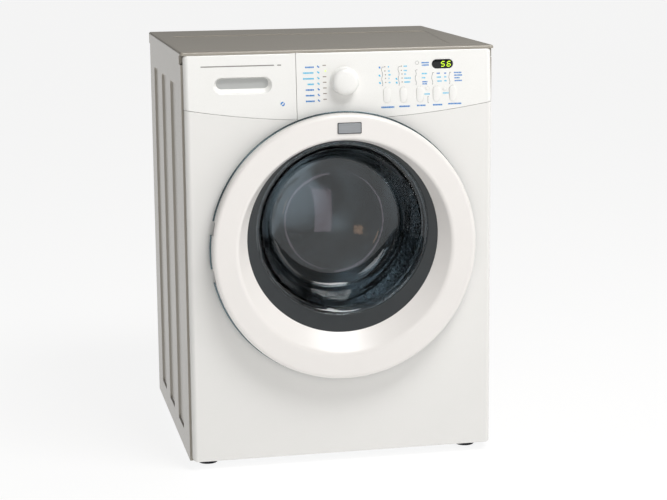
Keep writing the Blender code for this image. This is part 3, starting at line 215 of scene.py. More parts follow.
# Grey line laid in the drawer face.
strip_grey = finish("strip_grey", ("#8D8984", "#98948F"), 10, (0.35, 0.45), 0.8, 0.001)
# Painted studio floor, lit so that it stays white.
floor_white = finish("studio_floor", ("#6C6C6B", "#70706F"), 400, (0.75, 0.85), 5, 0.001,
                     **{"Emission Color": linear("#FFFFFF"), "Emission Strength": 0.86})


# Mesh helpers

def put(name, bm, material=None):
    """Turns a mesh being built into an object in the scene."""
    mesh = bpy.data.meshes.new(name)
    bm.to_mesh(mesh)
    bm.free()
    if material:
        mesh.materials.append(material)
    thing = bpy.data.objects.new(name, mesh)
    bpy.context.scene.collection.objects.link(thing)
    return thing


def keep(name, bm, material, body, stands_for=None, crease=35):
    """Puts a mesh in the scene as one piece on a body, smooth up to a crease angle."""
    bmesh.ops.recalc_face_normals(bm, faces=bm.faces)
    piece = put(name, bm, material)
    piece.data.shade_smooth()
    piece.data.set_sharp_from_angle(angle=math.radians(crease))
    if body:
        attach(piece, body)
    if stands_for:
        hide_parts(stands_for)
    return piece


def arc(x, z, radius, start, end, steps):
    """Points on an arc in the plane of the front, in degrees anticlockwise from the right."""
    turns = [math.radians(start + (end - start) * i / steps) for i in range(steps + 1)]
    return [(x + radius * math.cos(t), z + radius * math.sin(t)) for t in turns]


def circle(x, z, radius, count=48):
    return arc(x, z, radius, 0, 360, count)[:-1]


def pill(x, z, width, height, corner=None, steps=10):
    """Outline of a rounded box; the corners are half circles unless a radius is given."""
    r = min(width, height) / 2 if corner is None else corner
    points = []
    for sx, sz, start in ((1, 1, 0), (-1, 1, 90), (-1, -1, 180), (1, -1, 270)):
        points += arc(x + sx * (width / 2 - r), z + sz * (height / 2 - r), r, start, start + 90, steps)
    kept = [p for i, p in enumerate(points) if math.dist(p, points[i - 1]) > 1e-6]
    return kept


def inset(points, amounts):
    """An anticlockwise outline moved inward, by one amount or by one for each point."""
    moved = []
    count = len(points)
    if not isinstance(amounts, list):
        amounts = [amounts] * count
    for i, (x, z) in enumerate(points):
        (ax, az), (bx, bz) = points[i - 1], points[(i + 1) % count]
        before, after = Vector((x - ax, z - az)).normalized(), Vector((bx - x, bz - z)).normalized()
        normal = Vector((-before.y - after.y, before.x + after.x)).normalized()
        share = max(0.5, normal.dot(Vector((-after.y, after.x))))
        moved.append((x + normal.x * amounts[i] / share, z + normal.y * amounts[i] / share))
    return moved


def loft(bm, rings, ends=True, round_section=False):
    """Skins a row of equal rings of points. Closes it with flat ends, or round its section."""
    loops = [[bm.verts.new(point) for point in ring] for ring in rings]
    pairs = list(zip(loops, loops[1:]))
    if round_section:
        pairs.append((loops[-1], loops[0]))
    for low, high in pairs:
        for i in range(len(low)):
            j = (i + 1) % len(low)
            bm.faces.new((low[i], low[j], high[j], high[i]))
    if ends and not round_section:
        bm.faces.new(loops[0])
        bm.faces.new(loops[-1])
    return loops


def turned(profile, up, across=0.0, sides=96, bm=None):
    """A turned solid about a line running front to back. The profile is (radius, depth, shift up)."""
    bm = bm or bmesh.new()
    loops = []
    for station in profile:
        radius, y = station[:2]
        z = up + (station[2] if len(station) > 2 else 0.0)
        if radius < 1e-6:
            loops.append([bm.verts.new((across, y, z))])
        else:
            loops.append([bm.verts.new((px, y, pz)) for px, pz in circle(across, z, radius, sides)])
    for low, high in zip(loops, loops[1:] + loops[:1]):
        for i in range(sides):
            j = (i + 1) % sides
            corners = [low[i % len(low)], low[j % len(low)], high[j % len(high)], high[i % len(high)]]
            unique = list(dict.fromkeys(corners))
            if len(unique) > 2:
                bm.faces.new(unique)
    return bm


def rounded(profile, radii, steps=5):
    """A closed or open profile with its corners eased, one radius for each point."""
    points = []
    spots = [Vector(list(point) + [0.0] * (3 - len(point))) for point in profile]
    for i, here in enumerate(spots):
        if radii[i] <= 0:
            points.append(tuple(here))
            continue
        before, after = spots[i - 1], spots[(i + 1) % len(spots)]
        reach_in = min(radii[i], (before - here).length * 0.48)
        reach_out = min(radii[i], (after - here).length * 0.48)
        start = here + (before - here).normalized() * reach_in
        end = here + (after - here).normalized() * reach_out
        for step in range(steps + 1):
            t = step / steps
            points.append(tuple(start * (1 - t) ** 2 + here * 2 * t * (1 - t) + end * t * t))
    return points


def block(bm, x, y, z):
    """A plain box added to a bigger mesh."""
    corners = [(a, b, c) for a in x for b in y for c in z]
    v = [bm.verts.new(corner) for corner in corners]
    for face in ((0, 1, 3, 2), (4, 6, 7, 5), (0, 4, 5, 1), (2, 3, 7, 6), (0, 2, 6, 4), (1, 5, 7, 3)):
        bm.faces.new([v[i] for i in face])


def carve(piece, cutters):
    """Cuts closed meshes out of a piece."""
    bm = bmesh.new()
    for cutter in cutters:
        part = bpy.data.meshes.new("cutter")
        bmesh.ops.recalc_face_normals(cutter, faces=cutter.faces)
        cutter.to_mesh(part)
        cutter.free()
        bm.from_mesh(part)
        bpy.data.meshes.remove(part)
    tool = put("cutters", bm)
    boolean = piece.modifiers.new("openings", "BOOLEAN")
    boolean.operation, boolean.object, boolean.solver = "DIFFERENCE", tool, "EXACT"
    settle(piece)
    bpy.data.objects.remove(tool)


def settle(piece):
    """Applies a piece's modifiers to its mesh."""
    graph = bpy.context.evaluated_depsgraph_get()
    graph.update()
    mesh = bpy.data.meshes.new_from_object(piece.evaluated_get(graph))
    piece.modifiers.clear()
    old, piece.data = piece.data, mesh
    bpy.data.meshes.remove(old)
    mesh.shade_smooth()
    mesh.set_sharp_from_angle(angle=math.radians(32))
    weigh = piece.modifiers.new("even_faces", "WEIGHTED_NORMAL")
    weigh.keep_sharp = True
    weigh.weight = 90


def as_sheet(piece, thickness, offset, body, node):
    """Gives an open surface its sheet thickness, and lets it stand for a part."""
    thick = piece.modifiers.new("sheet", "SOLIDIFY")
    thick.thickness, thick.offset = thickness, offset
    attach(piece, body)
    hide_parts(node)
    settle(piece)


def on_face(bm, outline, *depths):
    """Lofts an outline between depths measured from the leaning console face."""
    loft(bm, [[(x, face_at(z) + depth, z) for x, z in outline] for depth in depths])


def mouth(outline, ease, back):
    """A cutter through a front skin whose mouth is eased by a small radius."""
    bm = bmesh.new()
    rings = [[(x, face_at(z) - 8 * MM, z) for x, z in inset(outline, -ease)]]
    for step in range(5):
        turn = math.pi / 2 * step / 4
        grown = inset(outline, -ease * (1 - math.sin(turn)))
        rings.append([(x, face_at(z) + ease * (1 - math.cos(turn)), z) for x, z in grown])
    rings.append([(x, back, z) for x, z in outline])
    loft(bm, rings)
    return bm


# Front skins

SIDE_ROLL = 11 * MM


def roll_sides(piece, edges):
    """Bends the sheet round the cabinet's vertical corners, whose radius is SIDE_ROLL."""
    bm = bmesh.new()
    bm.from_mesh(piece.data)
    for edge in edges:
        sign = 1 if edge > 0 else -1
        for step in range(8):
            reach = SIDE_ROLL * (1 - math.sin(math.pi / 2 * step / 8))
            bmesh.ops.bisect_plane(bm, geom=bm.verts[:] + bm.edges[:] + bm.faces[:], dist=1e-6,
                                   plane_co=(edge - sign * reach, 0, 0), plane_no=(1, 0, 0))
        for vert in bm.verts:
            reach = (edge - vert.co.x) * sign
            if reach < SIDE_ROLL:
                short = SIDE_ROLL - max(0.0, reach)
                drop = SIDE_ROLL - math.sqrt(max(0.0, SIDE_ROLL ** 2 - short ** 2))
                vert.co.y = min(vert.co.y + drop, max(vert.co.y, SKIN_BACK - 1 * MM))
    bm.to_mesh(piece.data)
    bm.free()
    piece.data.set_sharp_from_angle(angle=math.radians(32))


def front_skin(name, outline, eases, wall, lean, material, node, cutters, rolled):
    """A pan shaped skin: a flat face, its edges eased by their own radii and its sides rolled back."""
    depth = face_at if lean else (lambda z: FACE)
    rings = [[(x, SKIN_BACK - 0.4 * MM, z) for x, z in outline]]
    for step in range(7):
        turn = math.pi / 2 * step / 6
        moved = inset(outline, [r * (1 - math.cos(turn)) for r in eases])
        rings.append([(x, depth(z) + r * (1 - math.sin(turn)), z) for (x, z), r in zip(moved, eases)])
    inner = inset(outline, [max(r, wall) for r in eases])
    back = inset(outline, wall)
    inside = [[(x, SKIN_BACK - 0.4 * MM, z) for x, z in back],
              [(x, depth(z) + max(r, wall) + 0.3 * MM, z) for (x, z), r in zip(back, eases)],
              [(x, depth(z) + wall, z) for x, z in inset(inner, 0.4 * MM)]]
    bm = bmesh.new()
    loft(bm, inside[::-1] + rings)
    piece = keep(name, bm, material, BODY_OF[node], node)
    carve(piece, cutters)
    roll_sides(piece, rolled)


def make_front_panel():
    """Enamelled lower front with the door opening and the latch slot."""
    (x0, x1), (z0, _) = span("front_panel", 0), span("front_panel", 2)
    gap, corner, side, seam, foot = mm(0.5, 9, 0.25, 0.5, 3)
    outline, eases = [], []
    for i, point in enumerate(arc(x1 - corner, z0 + corner, corner, -90, 0, 8)):
        outline.append(point)
        eases.append(foot + (side - foot) * i / 8)
    for i in range(1, 8):
        outline.append((x1, z0 + corner + (seam_up(x1) - gap - z0 - corner) * i / 8))
        eases.append(side)
    steps = 40
    for i in range(steps + 1):
        x = x1 + (x0 - x1) * i / steps
        outline.append((x, seam_up(x) - gap))
        eases.append(side if i in (0, steps) else seam)
    for i in range(7, 0, -1):
        outline.append((x0, z0 + corner + (seam_up(x0) - gap - z0 - corner) * i / 8))
        eases.append(side)
    for i, point in enumerate(arc(x0 + corner, z0 + corner, corner, 180, 270, 8)):
        outline.append(point)
        eases.append(side + (foot - side) * i / 8)
    hole = mouth(circle(0, OPENING_UP, OPENING + 2 * MM, 120), 1.5 * MM, SKIN_BACK + 5 * MM)
    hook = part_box("door_latch_hook")
    slot = bmesh.new()
    block(slot, (hook[0].x - 4 * MM, hook[1].x + 4 * MM), (FACE - 5 * MM, SKIN_BACK + 5 * MM),
          (hook[0].z - 3 * MM, hook[1].z + 3 * MM))
    front_skin("front_panel_enamel", outline, eases, 1.2 * MM, False, white_enamel, "front_panel",
                      [hole, slot], (x0, x1))


def console_outline(x0, x1, left_round, right_round):
    """Outline of a console part: curved seam below, rounded outer corner above."""
    top, (seam, side, plain, crest) = CONSOLE_TOP, mm(0.3, 0.25, 0.5, 4)
    left, right = (side if left_round else plain), (side if right_round else plain)
    left_corner, corner = (8 * MM if left_round else 1.2 * MM), (8 * MM if right_round else 1.2 * MM)
    steps, seats = 24, []
    for i in range(steps + 1):
        x = x0 + (x1 - x0) * i / steps
        seats.append(((x, seam_up(x) + seam), right if i == steps else plain if i else left))
    for i in range(1, 5):
        seats.append(((x1, seam_up(x1) + (top - corner - seam_up(x1)) * i / 5), right))
    for i, point in enumerate(arc(x1 - corner, top - corner, corner, 0, 90, 8)):
        seats.append((point, min(right + (crest - right) * i / 8, corner * 0.8)))
    reach = x0 - x1 + corner + left_corner
    seats += [((x1 - corner + reach * i / 16, top), crest) for i in range(1, 16)]
    for i, point in enumerate(arc(x0 + left_corner, top - left_corner, left_corner, 90, 180, 8)):
        seats.append((point, min(crest + (left - crest) * i / 8, left_corner * 0.8)))
    for i in range(4, 0, -1):
        seats.append(((x0, seam_up(x0) + (top - left_corner - seam_up(x0)) * i / 5), left))
    return [list(part) for part in zip(*seats)]


PULL = mm(-211.5, 841.5, 123, 33)


def make_drawer_face():
    """Drawer face with a scooped finger pull and a scored line above it."""
    x0, x1 = span("drawer_front", 0)
    outline, eases = console_outline(x0, x1, True, False)
    x, z, width, height = PULL
    cutters = [mouth(pill(x, z, width, height), 2.5 * MM, SKIN_BACK + 5 * MM)]
    strip = bmesh.new()
    for start, end in ((-300.6, -143), (-136.7, -128)):
        groove = bmesh.new()
        line = pill((start + end) / 2 * MM, 882.6 * MM, (end - start) * MM, 2.4 * MM)
        on_face(groove, line, -3 * MM, 1.2 * MM)
        cutters.append(groove)
        on_face(strip, inset(line, 0.1 * MM), 1.6 * MM, 0.7 * MM)
    keep("drawer_line_strip", strip, strip_grey, "drawer")
    front_skin("drawer_face", outline, eases, 2.2 * MM, True, white_abs, "drawer_front", cutters, (x0,))

    rings = []
    steps, middle, lip = 14, face_at(z), 1.6 * MM
    for step in range(steps + 1):
        share = step / steps
        ring = []
        rim = pill(x, z, width + 0.6 * MM, height + 0.6 * MM)
        for px, pz in inset(rim, share * (height / 2 - 0.05 * MM)):
            low = min(1.0, max(0.0, (z + height / 2 - pz) / height))
            reach = share / (0.10 + 0.75 * low)
            fall = min(1.0, reach) ** 0.8
            deepest = (12.4 - 3.0 * low) * MM
            ring.append((px, middle + lip + (deepest - lip) * fall, pz))
        rings.append(ring)
    shell = [[(px, y + 1.2 * MM, pz) for px, y, pz in ring] for ring in rings[::-1]]
    bm = bmesh.new()
    loft(bm, rings + shell, round_section=True)
    keep("drawer_pull_scoop", bm, white_abs, "drawer", crease=60)


KEYS = [node for node in BODY_OF if node.startswith(("option_button", "round_button"))]


def make_console():
    """Console face with its openings for keys, knob and display."""
    x0, x1 = span("console_panel", 0)
    outline, eases = console_outline(x0, x1, False, True)
    cutters = []
    play, back = 0.4 * MM, SKIN_BACK - 3 * MM
    for node in KEYS + ["display_window"]:
        x, z, width, height = front_box(node)
        ease = 0.35 * MM if node in KEYS else 0.8 * MM
        cutters.append(mouth(pill(x, z, width + play, height + play), ease, back))
    x, z = front_box("program_knob")[:2]
    cutters.insert(len(KEYS), mouth(circle(x, z, 6.5 * MM, 32), 0.5 * MM, back))
    front_skin("console_face", outline, eases, 2.2 * MM, True, white_abs, "console_panel", cutters, (x1,))


def crowned(name, outline, front, back, crown, edge, material, body, node):
    """A key or lens: a plug with an eased edge and a slightly crowned face."""
    bm = bmesh.new()
    rings = [[(x, back, z) for x, z in outline]]
    for step in range(6):
        turn = math.pi / 2 * step / 5
        rings.append([(x, front + crown + edge * (1 - math.sin(turn)), z)
                      for x, z in inset(outline, edge * (1 - math.cos(turn)))])
    zs = [z for _, z in outline]
    xs = [x for x, _ in outline]
    half = min(max(xs) - min(xs), max(zs) - min(zs)) / 2
    for step in range(1, 5):
        share = step / 4
        rings.append([(x, front + crown * (1 - share) ** 2, z)
                      for x, z in inset(outline, edge + (half - edge - 0.3 * MM) * share)])
    loft(bm, rings)
    return keep(name, bm, material, body, node, crease=40)


def make_keys():
    """Pill keys and small round keys, crowned by under a millimetre."""
    for node in KEYS:
        low, high = span(node, 1)
        crowned(node.replace("button", "key"), pill(*front_box(node)), low, high, 0.7 * MM,
                0.8 * MM, white_abs, BODY_OF[node], node)


def make_knob():
    """Domed programme knob with a low skirt and a soft ridge round its crown."""
    x, z, width, _ = front_box("program_knob")
    (tip, root), radius = span("program_knob", 1), width / 2
    base = face_at(z + radius) - 0.7 * MM
    dome = []
    crown = radius - 3.2 * MM
    for i in range(13):
        turn = math.pi / 2 * i / 12
        dome.append((crown * math.sin(turn) ** 0.80, tip + 9.5 * MM * (1 - math.cos(turn) ** 0.9)))
    skirt = [(crown + 0.3 * MM, tip + 11 * MM), (crown + 0.4 * MM, base - 5.2 * MM),
             (crown + 1.2 * MM, base - 4.4 * MM), (radius - 0.5 * MM, base - 3.4 * MM),
             (radius, base - 2.6 * MM), (radius, base - 0.3 * MM), (radius - 0.4 * MM, base),
             (6 * MM, base), (6 * MM, root), (0, root)]
    keep("knob_dome", turned(dome + skirt, z, x, 96), white_abs, "knob", "program_knob", crease=50)


SEGMENTS = {"top": (0, 1), "top_left": (-1, 0.5), "top_right": (1, 0.5), "middle": (0, 0),
            "low_left": (-1, -0.5), "low_right": (1, -0.5), "bottom": (0, -1)}
FIVE = ("top", "top_left", "middle", "low_right", "bottom")
SIX = FIVE + ("low_left",)


def make_display():
    """Dark lens with two lit seven segment figures behind its face."""
    z = front_box("display_window")[1]
    front = face_at(z) - 0.6 * MM
    crowned("display_lens", pill(*front_box("display_window"), steps=12), front,
            span("display_window", 1)[1], 0.3 * MM, 0.6 * MM, dark_lens, "cabinet",
            "display_window")
    bm = bmesh.new()
    half_wide, half_high, bar = mm(3.6, 5.2, 0.85)
    for centre, figure in zip(mm(226.8, 240.2), (FIVE, SIX)):
        for segment in figure:
            side, level = SEGMENTS[segment]
            cx, cz = centre + side * half_wide, z + level * half_high
            flat = side == 0
            reach = (half_wide if flat else half_high / 2) - 0.5 * MM
            bar_points = [(-reach, 0), (-reach + bar, -bar), (reach - bar, -bar), (reach, 0),
                          (reach - bar, bar), (-reach + bar, bar)]
            if not flat:
                bar_points = [(-b, a) for a, b in bar_points]
            points = [(cx + a + 0.16 * (cz + b - z), cz + b) for a, b in bar_points]
            loft(bm, [[(px, front + y, pz) for px, pz in points] for y in (0.2 * MM, -0.12 * MM)])
    keep("display_figures", bm, led_lit, "cabinet")


# Printing on the console

def print_marks(name, marks, material, height=0.12):
    """Thin printed shapes on the console's face; each mark is (left, right, height up, thickness) in mm."""
    bm = bmesh.new()
    for left, right, up, thick in marks:
        outline = pill((left + right) / 2 * MM, up * MM, (right - left) * MM, thick * MM, 0.3 * MM, 2)
        on_face(bm, outline, 0.3 * MM, -height * MM)
    keep(name, bm, material, "cabinet")


def words(left, right, up, thick=3.2, seed=0):
    """A row of short blocks of uneven width that stands for a printed label."""
    draw = random.Random(seed)
    marks, x = [], left
    while x < right - 1.2:
        wide = draw.uniform(1.3, 2.9)
        end = min(right, x + wide)
        tall = thick * draw.uniform(0.86, 1.0)
        marks.append((x, end, up, tall))
        x = end + draw.uniform(0.35, 0.75)
    return marks


ROWS = [879.7, 867.7, 855.5, 843.7, 831.7, 819.8, 807.7]
COLUMNS = [(91.5, 872, (872.8, 863.8, 855.7, 848.0, 839.2), 104.6, 5.6),
           (128.0, 872, (873.2, 864.0, 856.3, 847.6, 839.3), 139.4, 7.5),
           (165.8, 864, (856.3, 847.3, 838.7, 834.2), 179.5, 12.0),
           (202.4, 857, (856.2, 847.9, 839.3), 212.7, 10.5),
           (240.8, 857, (856.7, 851.0, 845.2, 839.3), 251.5, 18.0)]


def make_printing():
    """Labels, icons, indicator dots and guide lines, all generic."""
    strong, light, dots, lines = [], [], [], []
    for i, up in enumerate(ROWS):
        ink = light if i in (1, 2, 3) else strong
        left = -81.5 if i in (1, 2) else -76.5 if i != 3 else -72
        ink += words(left, -57.5, up - 3.4, 3.4, i)
        ink += [(-50.5, -48.2, up - 1.6, 3.0), (-49.0, -45.8, up - 3.4, 2.6)]
        if i == 1:
            continue
        dots.append((-38.6, -31.0, up, 1.7))
    for c, (x, top, ups, text, width) in enumerate(COLUMNS):
        steps = int((top - 832) / 2.0)
        for s in range(steps):
            up = 832 + (top - 832) * (s + 0.5) / steps
            sway = 1.1 * math.sin((up - 832) / 40 * math.tau * 2.0)
            lines.append((x + sway - 0.5, x + sway + 0.5, up, 1.6))
        lines.append((x + 0.4, x + 4.2, top + 0.6, 0.8))
        for r, up in enumerate(ups):
            if c < 2:
                dots.append((x + 5.0 + 1.2 * (r > 1), x + 7.4 + 1.2 * (r > 1), up + 0.4, 1.9))
            reach = width * (1.0 if (r + c) % 3 else 0.7) + (8 if c == 1 and r > 2 else 0)
            ink = light if c in (0, 1) or (c == 2 and r < 2) or (c == 3 and r) else strong
            ink += words(text + 1.0 * (r > 1), text + reach, up, 3.0, 10 * c + r)
    strong += words(179.3, 196.3, 879.6, 3.2, 71) + words(180.0, 196.8, 874.4, 3.2, 72)
    strong += words(229.5, 235.0, 855.9, 3.0, 73)
    light += words(229.5, 234.0, 847.9, 3.0, 74) + words(229.5, 234.5, 839.6, 3.0, 75)
    for x, up in ((84.2, 872.4), (121.0, 847.3), (121.6, 839.2), (83.8, 855.2), (84.4, 839.6)):
        (strong if up > 870 else light).extend([(x, x + 3.4, up, 2.6), (x + 0.8, x + 4.4, up - 1.9, 1.4)])
    for left, right, up, seed in ((88.4, 116.8, 786.6, 81), (127.9, 151.7, 787.4, 82), (167.3, 186.3, 788.3, 83),
                                  (203.1, 225.0, 788.5, 84), (237.2, 266.6, 790.0, 85)):
        strong += words(left, right, up, 3.5, seed)
    light += words(184.5, 196.8, 812.3, 3.0, 91) + words(225.5, 238.5, 813.3, 3.0, 92)
    lines += [(191.5, 192.2, 800.0, 13.0), (191.5, 194.0, 806.5, 0.8), (191.5, 194.0, 793.5, 0.8)]
    dots.append((247.4, 249.4, 813.5, 2.0))
    print_marks("printed_labels_blue", strong, blue_ink)
    print_marks("printed_labels_light", light, cyan_ink)
    print_marks("indicator_dashes", dots, led_off, 0.2)
    print_marks("guide_lines", lines, grey_ink)
    print_marks("lit_indicator", [(-34.2, -31.4, 867.7, 2.2)], led_lit, 0.25)
    bm = bmesh.new()
    ring = [circle(169.3 * MM, 879.9 * MM, r * MM, 32) for r in (3.9, 3.4)]
    loft(bm, [[(x, face_at(z) + y, z) for x, z in ring[k]] for k, y in
              ((0, 0.2 * MM), (0, -0.12 * MM), (1, -0.12 * MM), (1, 0.2 * MM))], round_section=True)
    keep("indicator_ring", bm, grey_ink, "cabinet")
    bm = bmesh.new()
    for start in (60, 240):
        swirl = arc(-127.0 * MM, 800.4 * MM, 4.6 * MM, start, start + 150, 14)
        inner = arc(-127.0 * MM, 800.4 * MM, 1.9 * MM, start + 130, start + 10, 14)
        on_face(bm, swirl + inner, 0.2 * MM, -0.12 * MM)
    keep("round_mark", bm, blue_ink, "drawer")


# Cabinet

def make_worktop():
    """Pressed worktop: rounded corners, a sunk field and a folded lip round the edge."""
    low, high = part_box("worktop")
    x, y = (low.x + high.x) / 2, (low.y + high.y) / 2
    width, depth = high.x - low.x, high.y - low.y
    lip, ease, corner = mm(7, 4.6, 7)
    outline = pill(x, y, width, depth, corner, 8)
    rings = [[(px, py, low.z + 0.4 * MM) for px, py in inset(outline, 5 * MM)],
             [(px, py, low.z) for px, py in inset(outline, 1.5 * MM)],
             [(px, py, low.z + 0.6 * MM) for px, py in outline]]
    for step in range(7):
        turn = math.pi / 2 * step / 6
        rings.append([(px, py, high.z - ease + ease * math.sin(turn))
                      for px, py in inset(outline, ease * (1 - math.cos(turn)))])
    bm = bmesh.new()
    loft(bm, rings)
    # grey_enamel on the worktop is painted shade: white enamel painted grey for the dim light from above
    piece = keep("worktop_enamel", bm, grey_enamel, "cabinet", "worktop")
    skirt = bmesh.new()
    block(skirt, (low.x - 5 * MM, high.x + 5 * MM),
          (low.y - 10 * MM, SKIN_BACK + 10 * MM), (low.z - 5 * MM, high.z - lip))
    hollow = bmesh.new()
    block(hollow, (low.x + 5 * MM, high.x - 5 * MM), (SKIN_BACK + 15 * MM, high.y - 5 * MM),
          (low.z - 5 * MM, high.z - 3.6 * MM))
    sunk = bmesh.new()
    y0, y1 = low.y + 60 * MM, low.y + 462 * MM
    near, far = mm(262, 308)
    corners = [(-near, y0), (near, y0), (far, y1), (-far, y1)]
    shape = [p[:2] for p in rounded(corners, mm(14, 14, 14, 14), 6)]
    slope = 3.5 * MM
    loft(sunk, [[(px, py, high.z - 1.8 * MM) for px, py in inset(shape, slope)],
                [(px, py, high.z - 0.5 * MM) for px, py in inset(shape, 0.8 * MM)],
                [(px, py, high.z) for px, py in shape],
                [(px, py, high.z + 5 * MM) for px, py in inset(shape, -0.5 * MM)]])
    carve(piece, [skirt, hollow, sunk])


def make_side(node, sign):
    """Side sheet with three tall pressed bays whose edges are rounded, and folded flanges."""
    low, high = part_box(node)
    face = high.x if sign > 0 else -low.x
    front, rear, bottom, top = low.y, high.y, low.z, high.z
    start = span("worktop", 1)[0]
    bays = [(start + a * MM, start + b * MM) for a, b in ((114, 212), (288, 380), (452, 540))]
    rib_low, rib_high, sink, slope, corner = mm(60, 838, 4, 5, 10)

    def press(y, z):
        """How deep the sheet is pressed at a point."""
        deepest = 0.0
        for a, b in bays:
            dx = max(a + corner - y, y - (b - corner), 0.0)
            dz = max(rib_low + corner - z, z - (rib_high - corner), 0.0)
            inside = corner - math.hypot(dx, dz) if dx or dz else min(
                y - a, b - y, z - rib_low, rib_high - z)
            share = min(1.0, max(0.0, inside / slope))
            deepest = max(deepest, sink * share * share * (3 - 2 * share))
        return deepest

    fine = [0, 0.7, 1.4, 2.1, 2.8, 3.5, 4.2, 4.9, 5.6, 6.3, 7, 8.5, 10, 11.5]
    ys = {front + 1.2 * MM, front + 12 * MM, rear - 1.2 * MM}
    for a, b in bays:
        ys |= {a + f * MM for f in fine} | {b - f * MM for f in fine} | {(a + b) / 2}
    zs = {bottom, top, *mm(200, 350, 500, 650, 780)}
    zs |= {rib_low + f * MM for f in fine} | {rib_high - f * MM for f in fine}
    ys, zs = sorted(ys), sorted(zs)
    flange = face - (high.x - low.x)
    fold = ((0.3 * MM, flange), (0.1 * MM, face - 3 * MM), (0.3 * MM, face - 0.8 * MM))
    columns = [(front + ease, x) for ease, x in fold]
    ending = [(rear - ease, x) for ease, x in fold[::-1]]
    bm = bmesh.new()
    grid = []
    for z in zs:
        row = [bm.verts.new((sign * x, y, z)) for y, x in columns]
        row += [bm.verts.new((sign * (face - press(y, z)), y, z)) for y in ys]
        row += [bm.verts.new((sign * x, y, z)) for y, x in ending]
        grid.append(row)
    for low_row, high_row in zip(grid, grid[1:]):
        for i in range(len(low_row) - 1):
            bm.faces.new((low_row[i], low_row[i + 1], high_row[i + 1], high_row[i]))
    bmesh.ops.recalc_face_normals(bm, faces=bm.faces)
    outward = sum(f.normal.x * sign * f.calc_area() for f in bm.faces)
    if outward < 0:
        bmesh.ops.reverse_faces(bm, faces=bm.faces)
    # grey_enamel on the side is painted shade: white enamel painted grey for the shade the side sits in
    as_sheet(put(node + "_sheet", bm, grey_enamel), 1.0 * MM, -1.0, "cabinet", node)


# Door

